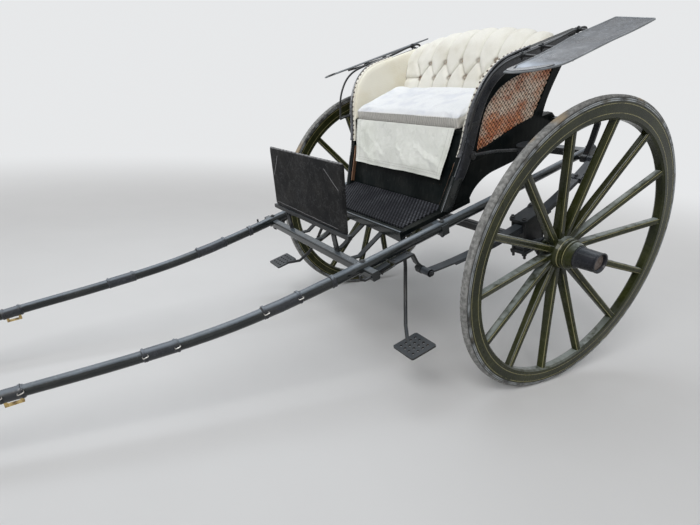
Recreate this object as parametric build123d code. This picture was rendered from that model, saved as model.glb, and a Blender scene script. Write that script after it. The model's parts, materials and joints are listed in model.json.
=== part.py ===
# A light two-wheeled horse gig, parked on its wheels and the tips of its shafts.
# Everything on the carriage is drawn level, as it rides behind the horse, with the
# axle's centre at zero, the front towards -Y and up +Z. It is then leaned nose down
# about the axle until the shaft tips touch the ground. All sizes are millimetres.

from build123d import *
from math import asin, atan2, cos, degrees, hypot, radians, sin, tan
import os

# Driving dimensions
WHEEL_DIA = 1220.0
HALF_TRACK = 729.0
SPOKES = 14
RUBBER_WIDTH = 32.0
RUBBER_DEPTH = 20.0
CHANNEL_WALL = 3.0
FELLOE_DEPTH = 62.0
FELLOE_WIDTH = 40.0
DISH = 84.0
ARM_R = 19.0
RUNNING_GAP = 0.05
AXLE_BAR = 34.0
SPRING_X = 500.0
SPRING_WIDTH = 44.0
SHAFT_Z = 232.0
TIP_R = 17.5
FLOOR_TOP = 262.0
FLOOR_FRONT = -565.0
SEAT_TOP = 560.0
RAIL_TOP = 782.0
FOOT_X = 366.0
SIDE_FLARE = 8.0
SIDE_THICK = 24.0
DASH_WIDTH = 660.0
DASH_HEIGHT = 284.0
WING_TOP = 806.0
WING_THICK = 9.0

# The shafts' centre lines, front tip last.
SHAFT_LINE = [
    # y, x, z, radius
    (520, 416, SHAFT_Z, 18),
    (270, 419, SHAFT_Z, 19),
    (20, 420, SHAFT_Z, 20.2),
    (-230, 420, SHAFT_Z, 21.3),
    (-480, 420, SHAFT_Z, 22.2),
    (-730, 418.5, SHAFT_Z, 22.8),
    (-960, 414.5, SHAFT_Z, 23),
    (-1180, 409, 237.5, 22.9),
    (-1387, 402, 251, 22.5),
    (-1588, 393, 277, 22),
    (-1800, 380, 312, 21.6),
    (-2000, 366, 350, 21),
    (-2200, 348, 385, 20),
    (-2400, 328, 404, 18.8),
    (-2600, 310, 396, 17.3),
    (-2800, 298, 360, 16),
]

# The outline of a body side, clockwise from the foot of the front pillar.
PILLAR_LINE = [
    # y, z
    (-353, 254),
    (-289, 385),
    (-239, 495),
    (-207, 610),
    (-184, 668),
    (-143, 728),
    (-86, 766),
    (-24, RAIL_TOP),
]
REAR_LINE = [
    # y, z
    (345, RAIL_TOP),
    (290, 670),
    (228, 560),
    (207, 482),
]
BOX_CORNERS = [
    # y, z
    (207, 482),
    (268, 478),
    (289, 455),
    (289, 335),
    (-66, 335),
]
ARCH_LINE = [
    # y, z
    (-66, 335),
    (-126, 321),
    (-172, 290),
    (-195, 254),
]
# The window in each side that the woven cane fills.
CANE_FRONT = [
    # y, z
    (-168, 458),
    (-165, 495),
    (-154, 554),
    (-136, 611),
    (-108, 649),
    (-60, 680),
    (-10, 694),
    (60, 700),
]
CANE_BACK = [
    # y, z
    (257, 700),
    (232, 652),
    (152, 494),
]
CANE_FOOT = [
    # y, z
    (152, 494),
    (40, 486),
    (-96, 464),
    (-168, 458),
]
ROLL_WIDTH = 50.0

WHEEL_R = WHEEL_DIA / 2
TIP_Y, TIP_X, TIP_Z = SHAFT_LINE[-1][:3]
# The lean that brings the lowest point of the rounded tips to the ground.
LEAN = degrees(asin((WHEEL_R - TIP_R) / hypot(TIP_Y, TIP_Z)) + atan2(TIP_Z, -TIP_Y))
# Where the tips and the wheels end sets how far the axle lies from the middle.
TIP_REACH = -TIP_Y * cos(radians(LEAN)) + TIP_Z * sin(radians(LEAN)) + TIP_R
AXLE_Y = (TIP_REACH - WHEEL_R) / 2

os.makedirs("parts", exist_ok=True)


def place(shape):
    # From the level drawing to the parked carriage.
    return Pos(0, AXLE_Y, WHEEL_R) * Rot(LEAN, 0, 0) * shape


def keep(name, shape):
    shape = place(shape)
    export_step(shape, "parts/" + name + ".step")


def both(name, shape):
    # The left piece is drawn at +X. The right one is its mirror image.
    keep(name + "_left", shape)
    keep(name + "_right", mirror(shape, about=Plane.YZ))


def pair(name, shape):
    # Two like pieces that share one name.
    keep(name, Part() + shape + mirror(shape, about=Plane.YZ))


def block(x0, x1, y0, y1, z0, z1):
    solid = Box(x1 - x0, y1 - y0, z1 - z0)
    return Pos((x0 + x1) / 2, (y0 + y1) / 2, (z0 + z1) / 2) * solid


def plate_yz(points, x0, x1):
    # A flat plate of straight edges in the carriage's side view.
    outline = Polyline(*[(0, y, z) for y, z in points], close=True)
    return Pos(x0, 0, 0) * extrude(make_face(outline), amount=x1 - x0, dir=(1, 0, 0))


def run(points):
    # One stretch of an outline: straight between two points, smooth through more.
    spots = [(0, y, z) for y, z in points]
    if len(spots) == 2:
        return Line(*spots)
    return Spline(*spots)


def panel(runs, x0, x1):
    # A flat panel in the side view whose outline is made of such stretches.
    face = make_face([run(points) for points in runs])
    return Pos(x0, 0, 0) * extrude(face, amount=x1 - x0, dir=(1, 0, 0))


def inset(points, distance):
    # The line that runs beside a line, on its right as it is followed.
    moved = []
    for i, (y, z) in enumerate(points):
        ya, za = points[max(i - 1, 0)]
        yb, zb = points[min(i + 1, len(points) - 1)]
        length = hypot(yb - ya, zb - za)
        moved.append((y + distance * (zb - za) / length, z - distance * (yb - ya) / length))
    return moved


def strap(points, width, thick, x_mid):
    # A flat iron bent in the side view: its middle line, width along X and thickness.
    ribbon = None
    for (ya, za), (yb, zb) in zip(points[:-1], points[1:]):
        run = hypot(yb - ya, zb - za)
        turn = degrees(atan2(zb - za, yb - ya))
        piece = Box(width, run, thick)
        piece = Pos(x_mid, (ya + yb) / 2, (za + zb) / 2) * Rot(turn, 0, 0) * piece
        ribbon = piece if ribbon is None else ribbon + piece
    for y, z in points[1:-1]:
        ribbon += Pos(x_mid, y, z) * Rot(0, 90, 0) * Cylinder(thick / 2, width)
    return ribbon


def rod(points, radius):
    # A round iron through points in space, with round joints at the bends.
    shape = None
    for a, b in zip(points[:-1], points[1:]):
        span = Vector(*b) - Vector(*a)
        plane = Plane(origin=a, z_dir=span)
        piece = plane * Pos(0, 0, span.length / 2) * Cylinder(radius, span.length)
        shape = piece if shape is None else shape + piece
    for point in points[1:-1]:
        shape += Pos(*point) * Sphere(radius)
    return shape


def flare(shape):
    # Tips a side outward about its foot.
    return Pos(FOOT_X, 0, 254) * Rot(0, SIDE_FLARE, 0) * Pos(-FOOT_X, 0, -254) * shape


def side_x(z, depth=0.0):
    # The x of a side's outer face at a height, or of a face deeper inside.
    return FOOT_X + (z - 254) * tan(radians(SIDE_FLARE)) - depth / cos(radians(SIDE_FLARE))


def between(shape, depth=SIDE_THICK):
    # Trims a board to the space between the two flared sides.
    low, high = 150, 900
    corners = [
        (-side_x(low, depth), low),
        (side_x(low, depth), low),
        (side_x(high, depth), high),
        (-side_x(high, depth), high),
    ]
    outline = Polyline(*[(x, -900, z) for x, z in corners], close=True)
    return shape & extrude(make_face(outline), amount=1800, dir=(0, 1, 0))


# The outline of a side, and the space the two sides take up, for trimming what meets them.
RAIL_LINE = [PILLAR_LINE[-1], REAR_LINE[0]]
SIDE_RUNS = [PILLAR_LINE, RAIL_LINE, REAR_LINE]
SIDE_RUNS += [list(leg) for leg in zip(BOX_CORNERS[:-1], BOX_CORNERS[1:])]
SIDE_RUNS += [ARCH_LINE, [ARCH_LINE[-1], PILLAR_LINE[0]]]
side_shadow = flare(panel(SIDE_RUNS, FOOT_X - SIDE_THICK, FOOT_X))
both_sides = side_shadow + mirror(side_shadow, about=Plane.YZ)


# Shafts: two bent ash poles, lofted through upright round sections from rear to front,
# each with a rounded metal cap on its tip.
def shaft_solid():
    rings = []
    for y, x, z, r in SHAFT_LINE:
        rings.append(Plane(origin=(x, y, z), x_dir=(1, 0, 0), z_dir=(0, -1, 0)) * Circle(r))
    pole = loft(rings)
    return pole + Pos(TIP_X, TIP_Y, TIP_Z) * Sphere(TIP_R)


shaft = shaft_solid()
both("shaft", shaft)
shafts = shaft + mirror(shaft, about=Plane.YZ)

# Cross bars under the shafts. The front one is the splinter bar the traces pull on.
# Each bar's top is hollowed for the two poles.
bar_drop = SHAFT_Z - 30
splinter = block(-500, 500, -822, -786, bar_drop - 6, SHAFT_Z + 2)
splinter = fillet(splinter.edges().filter_by(Axis.X), 8)
keep("splinter_bar", splinter - shafts)
mid_bar = block(-444, 444, -420, -384, bar_drop - 4, FLOOR_TOP - 20)
keep("middle_cross_bar", mid_bar - shafts)
rear_bar = block(-440, 440, 470, 506, bar_drop, SHAFT_Z + 4)
keep("rear_cross_bar", rear_bar - shafts)
hook = rod([(488, -822, 214), (488, -850, 214), (488, -868, 226), (488, -866, 244)], 5)
hook += strap([(-824, 199), (-786, 199), (-704, 206)], 30, 6, 444)
hook += strap([(-806, 190), (-750, 192), (-704, 201)], 30, 5, 444)
pair("trace_irons", hook - splinter - shafts)

# Floor: one board from the lip to the front of the seat box, and its ribbed mat.
floor = block(-372, 372, FLOOR_FRONT, -195, FLOOR_TOP - 20, FLOOR_TOP)
floor = fillet(floor.edges().filter_by(Axis.X).sort_by(Axis.Y)[:2], 8)
floor_board = floor - both_sides
keep("floor_board", floor_board)
mat = block(-338, 338, FLOOR_FRONT + 22, -312, FLOOR_TOP, FLOOR_TOP + 5)
keep("floor_mat", mat)
# Bent irons tie the floor's front edge down to the splinter bar.
floor_iron_line = [(FLOOR_FRONT + 60, 238), (FLOOR_FRONT + 14, 238), (-706, 172), (-806, 192)]
floor_iron = strap(floor_iron_line, 26, 7, 85) + strap(floor_iron_line, 26, 7, 232)
pair("floor_irons", floor_iron - splinter)
# A rounded front board, deeper towards its ends, hides the ends of the floor's boards.
lip_face = make_face([
    Line((-372, 0, FLOOR_TOP + 6), (372, 0, FLOOR_TOP + 6)),
    Line((372, 0, FLOOR_TOP + 6), (372, 0, FLOOR_TOP - 42)),
    ThreePointArc((372, 0, FLOOR_TOP - 42), (0, 0, FLOOR_TOP - 24), (-372, 0, FLOOR_TOP - 42)),
    Line((-372, 0, FLOOR_TOP - 42), (-372, 0, FLOOR_TOP + 6)),
])
lip = Pos(0, FLOOR_FRONT - 14, 0) * extrude(lip_face, amount=14, dir=(0, 1, 0))
lip = fillet(lip.edges().filter_by(Axis.X).sort_by(Axis.Z)[-2:], 6)
keep("floor_lip", lip - floor_iron - mirror(floor_iron, about=Plane.YZ))

# Dash: a leather-covered board on two irons that stand on the splinter bar.
dash_lean = 9.1
dash = Box(DASH_WIDTH, 14, DASH_HEIGHT)
dash = fillet(dash.edges().filter_by(Axis.Y), 12)
dash = Pos(0, -792, 338) * Rot(-dash_lean, 0, 0) * Pos(0, 0, DASH_HEIGHT / 2) * dash
keep("dash_board", dash)
dash_rail = Pos(0, -792, 338) * Rot(-dash_lean, 0, 0) * Pos(0, 0, -9) * Box(DASH_WIDTH + 24, 18, 18)
keep("dash_rail", dash_rail)
dash_iron = block(196, 228, -800, -792, SHAFT_Z + 2, 334)
pair("dash_irons", dash_iron - dash_rail)

# Body sides: framed panels with a pillar, an arm rail and a window for the cane.
side = panel(SIDE_RUNS, FOOT_X - SIDE_THICK, FOOT_X)
cane_runs = [CANE_FRONT, [CANE_FRONT[-1], CANE_BACK[0]], CANE_BACK, CANE_FOOT]
window = panel(cane_runs, FOOT_X - SIDE_THICK - 5, FOOT_X + 5)
both("body_side", flare(side - window))
pair("cane_panels", flare(panel(cane_runs, FOOT_X - 14, FOOT_X - 8)))

# A stuffed leather roll runs up each front pillar and along the arm rail.
roll_outer = PILLAR_LINE[1:]
roll_inner = inset(PILLAR_LINE, ROLL_WIDTH)[1:]
roll_end = [(REAR_LINE[0][0] - 26, RAIL_TOP), (REAR_LINE[0][0] - 50, RAIL_TOP - ROLL_WIDTH)]
roll_runs = [roll_outer, [roll_outer[-1], roll_end[0]], roll_end]
roll_runs += [[roll_end[1], roll_inner[-1]], roll_inner[::-1], [roll_inner[0], roll_outer[0]]]
roll = panel(roll_runs, FOOT_X, FOOT_X + 12)
roll = fillet(roll.faces().sort_by(Axis.X)[-1].edges(), 9)
pair("arm_rolls", flare(roll))

# Seat box between the sides: riser, bottom, back and the seat board as its lid.
riser_line = [(-304, FLOOR_TOP), (-288, FLOOR_TOP), (-196, SEAT_TOP - 14), (-212, SEAT_TOP - 14)]
keep("seat_riser", between(plate_yz(riser_line, -450, 450)))
bottom_line = [(-195, 254), (-172, 290), (-126, 321), (-66, 335), (277, 335), (277, 347)]
bottom_line += [(-70, 347), (-132, 333), (-182, 298), (-204, FLOOR_TOP), (-195, FLOOR_TOP)]
keep("box_bottom", between(plate_yz(bottom_line, -450, 450)))
back_line = [(277, 335), (289, 335), (289, 455), (268, 478), (219, 482), (225, SEAT_TOP - 14)]
back_line += [(213, SEAT_TOP - 14), (206, 470), (262, 466), (277, 450)]
keep("box_back", between(plate_yz(back_line, -450, 450)))
seat_board = block(-450, 450, -216, 225, SEAT_TOP - 14, SEAT_TOP)
keep("seat_board", between(seat_board))

# Seat back: a reclined board with an arched top, between the two sides.
BACK_LEAN = 28.0
BACK_RISE = 52.0
back_foot = (174, SEAT_TOP)
back_height = (RAIL_TOP - 28 - SEAT_TOP) / cos(radians(BACK_LEAN))
crown_r = (400 ** 2 + BACK_RISE ** 2) / (2 * BACK_RISE)


def crowned(depth_front, depth_back, rise):
    # A slab as wide as the seat whose top is an arc, leaned back about its foot.
    slab = block(-450, 450, depth_front, depth_back, 0, back_height + rise)
    top = back_height + rise
    tube = Pos(0, 0, top - crown_r) * Rot(90, 0, 0) * Cylinder(crown_r, 600)
    slab = slab & tube
    return Pos(0, *back_foot) * Rot(-BACK_LEAN, 0, 0) * slab


above_seat = block(-500, 500, 0, 400, SEAT_TOP, 900)
keep("seat_back_board", between(crowned(0, 12, BACK_RISE) & above_seat))

# Upholstery: loose cushion, buttoned back pad, arm pads and the hanging apron.
ARM_PAD = 14.0
cushion_x = side_x(SEAT_TOP, SIDE_THICK + ARM_PAD) - 1.5
cushion_line = [(-222, SEAT_TOP), (-222, SEAT_TOP + 52), (-190, SEAT_TOP + 60)]
cushion_line += [(40, SEAT_TOP + 84), (78, SEAT_TOP + 78), (104, SEAT_TOP)]
cushion = plate_yz(cushion_line, -cushion_x, cushion_x)
cushion = fillet(cushion.edges().filter_by(Axis.X).sort_by(Axis.Z)[2:4], 12)
keep("seat_cushion", cushion)
pad = crowned(-96, -0.3, BACK_RISE + 14) & Pos(0, 0, 0.3) * above_seat
pad = pad - cushion
keep("back_pad", between(pad, SIDE_THICK + ARM_PAD + 0.3))
arm_front = [(-214, SEAT_TOP), (-198, 606), (-174, 662), (-135, 718), (-82, 752), (-22, 764)]
arm_back = [(268, 764), (226, 690), (168, SEAT_TOP)]
arm_runs = [arm_front, [arm_front[-1], arm_back[0]], arm_back, [arm_back[-1], arm_front[0]]]
arm_x = FOOT_X - SIDE_THICK
pair("arm_pads", flare(panel(arm_runs, arm_x - ARM_PAD, arm_x - 0.3)))
fall = 212.0
apron_top = (-222.2, SEAT_TOP + 14)
apron = Pos(0, *apron_top) * Rot(-LEAN, 0, 0) * block(-330, 330, -3, 0, -fall, 0)
keep("seat_apron", apron)

# Wings over the wheels: flat leather-covered boards, rounded in front. They lie square
# to the flared sides, so each slopes down outward, and rest on round cross irons.
WING_OUTER = [
    # x, y
    (515, -214),
    (541, -207),
    (570, -189),
    (594, -163),
    (614, -137),
    (629, -105),
    (636, -55),
    (629, 50),
    (619, 178),
    (615, 308),
    (602, 438),
]
WING_INNER = [
    # x, y
    (455, 434),
    (458, 373),
    (460, 286),
    (466, 179),
    (488, 60),
    (501, -49),
    (506, -139),
]
wing_runs = [WING_OUTER, [WING_OUTER[-1], WING_INNER[0]]]
wing_runs += [WING_INNER, [WING_INNER[-1], WING_OUTER[0]]]
wing_base = WING_TOP - WING_THICK
wing_face = make_face([
    Spline(*[(x, y, wing_base) for x, y in points]) if len(points) > 2
    else Line(*[(x, y, wing_base) for x, y in points])
    for points in wing_runs
])
wing = extrude(wing_face, amount=WING_THICK, dir=(0, 0, 1))
pair("wings", flare(wing))

# A round rail stands off each side, follows the pillar up and runs back under the wing's
# inner edge. Three cross irons carry the wing from it.
WING_RAIL = [
    # y, z
    (-259, 586),
    (-244, 636),
    (-226, 683),
    (-197, 726),
    (-164, 757),
    (-118, 779),
    (-60, 788),
    (40, 789),
    (180, 792),
    (300, 797),
    (332, 788),
    (336, 768),
]
RAIL_X = FOOT_X + 45
rest = wing_base - 5.2
rail_path = Spline(*[(RAIL_X, y, z) for y, z in WING_RAIL])
rail_start = Plane(origin=rail_path @ 0, z_dir=rail_path % 0)
wing_iron = sweep(rail_start * Circle(5), path=rail_path)
for y, z, x_end in ((-8, 788.6, 618), (95, 789.6, 606), (286, 796.5, 598)):
    wing_iron += rod([(FOOT_X - 3, y, 766), (RAIL_X, y, z), (x_end, y, rest)], 4.6)
wing_iron += rod([(FOOT_X - 3, -190, 590), (RAIL_X, -258, 589)], 4.6)
wing_iron += rod([(FOOT_X - 3, 312, 758), (RAIL_X, 336, 770)], 4.6)
side_face = panel(SIDE_RUNS, FOOT_X - SIDE_THICK, FOOT_X)
pair("wing_irons", flare(wing_iron - side_face - wing - roll))

# Axle: a square bar with two turned arms, and a block that seats each spring.
bar_end = HALF_TRACK - 169
axle = block(-bar_end, bar_end, -AXLE_BAR / 2, AXLE_BAR / 2, -AXLE_BAR / 2, AXLE_BAR / 2)
axle += Rot(0, 90, 0) * Cylinder(ARM_R, 2 * HALF_TRACK + 142)
for end in (-1, 1):
    axle += Pos(end * (HALF_TRACK - 151), 0, 0) * Rot(0, 90, 0) * Cylinder(34, 30)
    axle += Pos(end * (HALF_TRACK - 146), 0, 0) * Rot(0, 90, 0) * Cylinder(44, 8)
    axle += Pos(end * (HALF_TRACK + 33), 0, 0) * Rot(0, 90, 0) * Cylinder(27, 20)
keep("axle", axle)

# Springs: a pack of four bowed leaves on each side, eyes at both ends.
SPRING_LINE = [
    # y, z of the middle line of the main leaf's underside
    (-567, 116),
    (-420, 98),
    (-240, 90),
    (-60, 96),
    (80, 112),
    (220, 150),
    (330, 192),
    (402, 226),
]


def leaf(first_y, last_y, lift, thick):
    # Every leaf follows the one line, so that the pack lies close.
    lower = Spline(*[(0, y, z + lift) for y, z in SPRING_LINE])
    upper = Spline(*[(0, y, z + lift + thick) for y, z in SPRING_LINE])
    ends = [Line(lower @ 0, upper @ 0), Line(lower @ 1, upper @ 1)]
    face = make_face([lower, upper] + ends)
    x0 = SPRING_X - SPRING_WIDTH / 2
    bar = Pos(x0, 0, 0) * extrude(face, amount=SPRING_WIDTH, dir=(1, 0, 0))
    bar = chamfer(bar.edges().filter_by(GeomType.BSPLINE), 1.6)
    return bar & block(x0 - 1, x0 + SPRING_WIDTH + 1, first_y, last_y, 0, 400)


spring = leaf(-600, 600, 0, 9) + leaf(-430, 330, -8, 8) + leaf(-290, 220, -16, 8) + leaf(-160, 120, -24, 8)
for y, z in (SPRING_LINE[0], SPRING_LINE[-1]):
    spring += Pos(SPRING_X, y, z + 4) * Rot(0, 90, 0) * Cylinder(15, SPRING_WIDTH)
clip = Pos(SPRING_X, 306, 178) * Rot(21, 0, 0) * Box(SPRING_WIDTH + 14, 24, 30)
spring += clip
pair("leaf_springs", spring)
# Each spring is clamped between a block on the axle and a top plate, by four bolts.
plate_low = -AXLE_BAR / 2 - 14
clamp = block(SPRING_X - 34, SPRING_X + 34, -52, 52, plate_low + 10, 124)
clamp += block(SPRING_X - 40, SPRING_X + 40, -62, 62, plate_low, plate_low + 10)
clamp += Pos(SPRING_X, 0, 132) * Rot(6, 0, 0) * Box(80, 124, 12)
for x in (SPRING_X - 30, SPRING_X + 30):
    for y in (-54, 54):
        clamp += Pos(x, y, 50) * Cylinder(6, 196)
        clamp += Pos(x, y, plate_low - 6) * extrude(RegularPolygon(11, 6), amount=12, both=False)
pair("spring_blocks", clamp - spring - axle)

# Irons that carry the spring ends: one from each shaft, one from the rear bar.
front_iron = strap([(-690, 206), (-600, 206), (-585, 160), (-567, 134)], 26, 9, 462)
front_iron += Pos(478, -567, 120) * Rot(0, 90, 0) * Cylinder(8, 88)
front_iron += Pos(462, -567, 120) * Rot(0, 90, 0) * Cylinder(17, 26)
front_iron += block(430, 475, -690, -600, 202, 209)
pair("front_spring_irons", front_iron - spring - shafts)
rear_iron = strap([(402, 230), (446, 300), (474, 360), (470, 410), (430, 440), (289, 446)], 26, 10, 462)
rear_iron += Pos(478, 402, 230) * Rot(0, 90, 0) * Cylinder(8, 88)
rear_iron += Pos(462, 402, 230) * Rot(0, 90, 0) * Cylinder(17, 26)
rear_iron += block(380, 474, 268, 289, 438, 452)
pair("rear_spring_irons", rear_iron - spring - shafts - side_shadow)

# Steps: a curved iron under the floor's front corner with a pierced square tread.
step_line = [(352, -548, 238), (358, -566, 93), (386, -600, 27), (430, -647, -43)]
step_line += [(480, -695, -92), (560, -752, -108)]
step_iron = rod(step_line, 8)
step_iron += block(330, 374, -556, -520, 236, FLOOR_TOP - 20)
tread = block(540, 665, -815, -690, -110, -102)
tread = fillet(tread.edges().filter_by(Axis.Z), 10)
for row in range(4):
    for column in range(4):
        tread -= Pos(565 + 25 * column, -790 + 25 * row, -106) * Cylinder(6, 30)
pair("steps", step_iron + tread - floor_board)

# Lamp sockets on bent brackets outside each body side.
cup = Pos(452, 44, 392) * (Cylinder(33, 62) - Pos(0, 0, 5) * Cylinder(28, 62))
bracket = rod([(side_x(456) - 2, -196, 456), (412, -188, 458), (424, -94, 440), (440, 14, 408)], 6)
pair("lamp_sockets", cup + (bracket - side_shadow - flare(roll)))

# Tug stops: small brass-faced loops on the shafts that keep the harness tugs in place.
stop = Pos(354, -2133, 376 - 30) * Rot(-11, 0, 0) * (Box(14, 60, 24) - Box(20, 40, 12))
pair("tug_stops", stop - shaft)


# Wheels: drawn on the left, level with the axle, and mirrored for the right.
def ring(r_in, r_out, x0, x1):
    tube = Cylinder(r_out, x1 - x0) - Cylinder(r_in, x1 - x0 + 2)
    return Pos((x0 + x1) / 2, 0, 0) * Rot(0, 90, 0) * tube


x_mid = HALF_TRACK
r_rubber = WHEEL_R - RUBBER_DEPTH
r_felloe = r_rubber - CHANNEL_WALL
r_inner = r_felloe - FELLOE_DEPTH
tyre = ring(r_rubber, WHEEL_R, x_mid - RUBBER_WIDTH / 2, x_mid + RUBBER_WIDTH / 2)
tyre = fillet(tyre.edges().filter_by(GeomType.CIRCLE).group_by(SortBy.RADIUS)[-1], 9)
channel = ring(r_felloe, r_rubber, x_mid - FELLOE_WIDTH / 2, x_mid + FELLOE_WIDTH / 2)
for x0 in (x_mid - FELLOE_WIDTH / 2, x_mid + FELLOE_WIDTH / 2 - 3.5):
    channel += ring(r_rubber, r_rubber + 8, x0, x0 + 3.5)
felloe = ring(r_inner, r_felloe, x_mid - FELLOE_WIDTH / 2, x_mid + FELLOE_WIDTH / 2)
felloe = chamfer(felloe.edges().filter_by(GeomType.CIRCLE).group_by(SortBy.RADIUS)[0], 7)
x_root = x_mid - DISH
# The turned nave, given by its distance out from the rim's middle plane and its radius.
nave_line = [
    # out, radius
    (-131, 46),
    (-127, 54),
    (-115, 54),
    (-112, 58),
    (-100, 66),
    (-73, 72),
    (-48, 70),
    (-30, 62),
    (-27, 65),
    (-20, 65),
    (-17, 59),
    (-13, 61),
    (-6, 61),
    (-3, 56),
    (21, 50),
]
nave_edge = [(x_mid - 131, 0)] + [(x_mid + out, r) for out, r in nave_line] + [(x_mid + 21, 0)]
wood = revolve(make_face(Polyline(*[(x, r, 0) for x, r in nave_edge], close=True)), Axis.X)
for i in range(SPOKES):
    root = Vector(x_root + 8, 0, 55)
    tenon = Vector(x_mid - 1, 0, r_inner + 4)
    along = tenon - root
    plane = Plane(origin=root, x_dir=(0, 1, 0), z_dir=along)
    spoke = loft([
        plane * RectangleRounded(28, 44, 6),
        plane * Pos(0, 0, 130) * RectangleRounded(31, 39, 10),
        plane * Pos(0, 0, along.length) * RectangleRounded(29, 33, 11),
    ])
    wood += Rot(360 / SPOKES * i - 0.8, 0, 0) * spoke
bore = Rot(0, 90, 0) * Cylinder(ARM_R + RUNNING_GAP, 2000)
wood = wood - bore - ring(r_inner, WHEEL_R, x_mid - 40, x_mid + 40)
# The hub band: a turned iron sleeve with a beaded foot, and the cap sunk in its mouth.
band_in = x_mid + 21
band_line = [(0, 34), (0, 47), (6, 47), (9, 43.5), (84, 41), (88, 42), (92, 42), (92, 36), (86, 34)]
band_edge = [(band_in + out, r) for out, r in band_line]
band = revolve(make_face(Polyline(*[(x, r, 0) for x, r in band_edge], close=True)), Axis.X)
band += ring(0, 35, band_in + 72, band_in + 80)


def wheel(side, name, shape):
    shape = shape if side > 0 else mirror(shape, about=Plane.YZ)
    export_step(Pos(0, AXLE_Y, WHEEL_R) * shape, "parts/" + name + ".step")


for side, word in ((1, "left"), (-1, "right")):
    wheel(side, "wheel_wood_" + word, wood)
    wheel(side, "felloe_" + word, felloe)
    wheel(side, "tyre_channel_" + word, channel)
    wheel(side, "rubber_tyre_" + word, tyre)
    wheel(side, "hub_band_" + word, band)
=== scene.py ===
"""A light horse-drawn gig, dressed over its CAD frame: two tall wheels, bent shafts, a buttoned
seat in a dark coach body with cane sides, leather dash and wings, all on two leaf springs."""
import json
import math

import bmesh
import bpy
import numpy as np
from mathutils import Euler, Matrix, Vector, noise


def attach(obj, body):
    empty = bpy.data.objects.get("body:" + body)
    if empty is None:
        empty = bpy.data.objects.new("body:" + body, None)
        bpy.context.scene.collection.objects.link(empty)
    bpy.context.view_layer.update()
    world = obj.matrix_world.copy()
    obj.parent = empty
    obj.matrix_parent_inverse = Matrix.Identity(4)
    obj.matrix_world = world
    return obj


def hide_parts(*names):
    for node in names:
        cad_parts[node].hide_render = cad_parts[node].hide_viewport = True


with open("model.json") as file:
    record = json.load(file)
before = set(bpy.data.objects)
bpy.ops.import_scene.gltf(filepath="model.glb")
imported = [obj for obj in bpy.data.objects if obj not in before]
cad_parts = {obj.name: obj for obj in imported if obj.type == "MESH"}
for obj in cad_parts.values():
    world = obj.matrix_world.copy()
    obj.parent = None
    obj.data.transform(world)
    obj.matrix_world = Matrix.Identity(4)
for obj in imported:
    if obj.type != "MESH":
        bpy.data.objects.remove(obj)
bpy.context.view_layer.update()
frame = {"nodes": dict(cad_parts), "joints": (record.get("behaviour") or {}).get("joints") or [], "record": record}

# Setting. The carriage is drawn level, in millimetres from the middle of its axle, and stands
# parked nose down. The camera is the photograph's, turned about the axle with the carriage.
PHOTO_LEAN = math.radians(17)
CAMERA_AT = (1.9343, -1.9451, 0.6360)
CAMERA_TURN = (math.radians(64.82), 0, math.radians(63.60))
lamp_bore = next(m for m in frame["record"]["mounts"] if m["kind"] == "bore")
lean = math.atan2(-lamp_bore["axis"][1], lamp_bore["axis"][2])
axle = Vector((0, *frame["joints"][0]["pos_m"][1:]))
parked = Matrix.Translation(axle) @ Matrix.Rotation(lean, 4, "X")


def put_in_scene(name, data):
    """An object of the scene, made from its mesh, lamp or camera."""
    obj = bpy.data.objects.new(name, data)
    bpy.context.scene.collection.objects.link(obj)
    return obj


camera = put_in_scene("camera", bpy.data.cameras.new("camera"))
nod = Matrix.Translation(axle) @ Matrix.Rotation(lean - PHOTO_LEAN, 4, "X")
camera.matrix_world = nod @ Matrix.Translation(CAMERA_AT) @ Euler(CAMERA_TURN).to_matrix().to_4x4()
camera.data.lens = 25.19
camera.data.sensor_width = 36
camera.data.shift_x = 0.0953
camera.data.shift_y = 0.0769
bpy.context.scene.camera = camera
bpy.context.scene.view_settings.view_transform = "Standard"


# Studio: a plain pale floor that fades into a pale backdrop, under a dome of soft light, a broad
# key light and a long soft box. It isn't part of the carriage.
class Nodes:
    """A tree of nodes, with short ways to add to it."""

    def __init__(self, tree):
        self.tree = tree

    def add(self, kind, **given):
        """A node of a kind: in0, in1 and so on feed its sockets, and other words set it."""
        node = self.tree.nodes.new(kind)
        for key, value in given.items():
            if not key[2:].isdigit():
                setattr(node, key, value)
        for key, value in given.items():
            if key[2:].isdigit():
                self.feed(node.inputs[int(key[2:])], value)
        return node

    def feed(self, socket, value):
        if isinstance(value, bpy.types.NodeSocket):
            self.tree.links.new(value, socket)
        else:
            socket.default_value = value

    def calc(self, operation, a, b=0.0):
        return self.add("ShaderNodeMath", operation=operation, in0=a, in1=b).outputs[0]

    def times(self, first, *rest):
        for value in rest:
            first = self.calc("MULTIPLY", first, value)
        return first

    def plus(self, first, *rest):
        for value in rest:
            first = self.calc("ADD", first, value)
        return first

    def most(self, first, *rest):
        for value in rest:
            first = self.calc("MAXIMUM", first, value)
        return first

    def less(self, a, b):
        return self.calc("SUBTRACT", a, b)

    def off(self, a, b):
        """How far the number a is from b."""
        return self.calc("ABSOLUTE", self.less(a, b))

    def wave(self, value, length):
        """A sine wave of this length along a value."""
        return self.calc("SINE", self.times(value, 2 * math.pi / length))

    def axes(self, vector):
        return self.add("ShaderNodeSeparateXYZ", in0=vector).outputs

    def between(self, value, low, high):
        """0 where the value is at low, 1 where it is at high, smooth between."""
        return self.add("ShaderNodeMapRange", interpolation_type="SMOOTHSTEP",
                        in0=value, in1=low, in2=high).outputs[0]

    def mix(self, share, a, b):
        """The colour b over the colour a."""
        a, b = [(*v, 1) if isinstance(v, tuple) and len(v) == 3 else v for v in (a, b)]
        return self.add("ShaderNodeMix", data_type="RGBA", in0=share, in6=a, in7=b).outputs[2]

    def blend(self, share, a, b):
        """The number b over the number a."""
        return self.add("ShaderNodeMix", data_type="FLOAT", in0=share, in2=a, in3=b).outputs[0]


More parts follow.
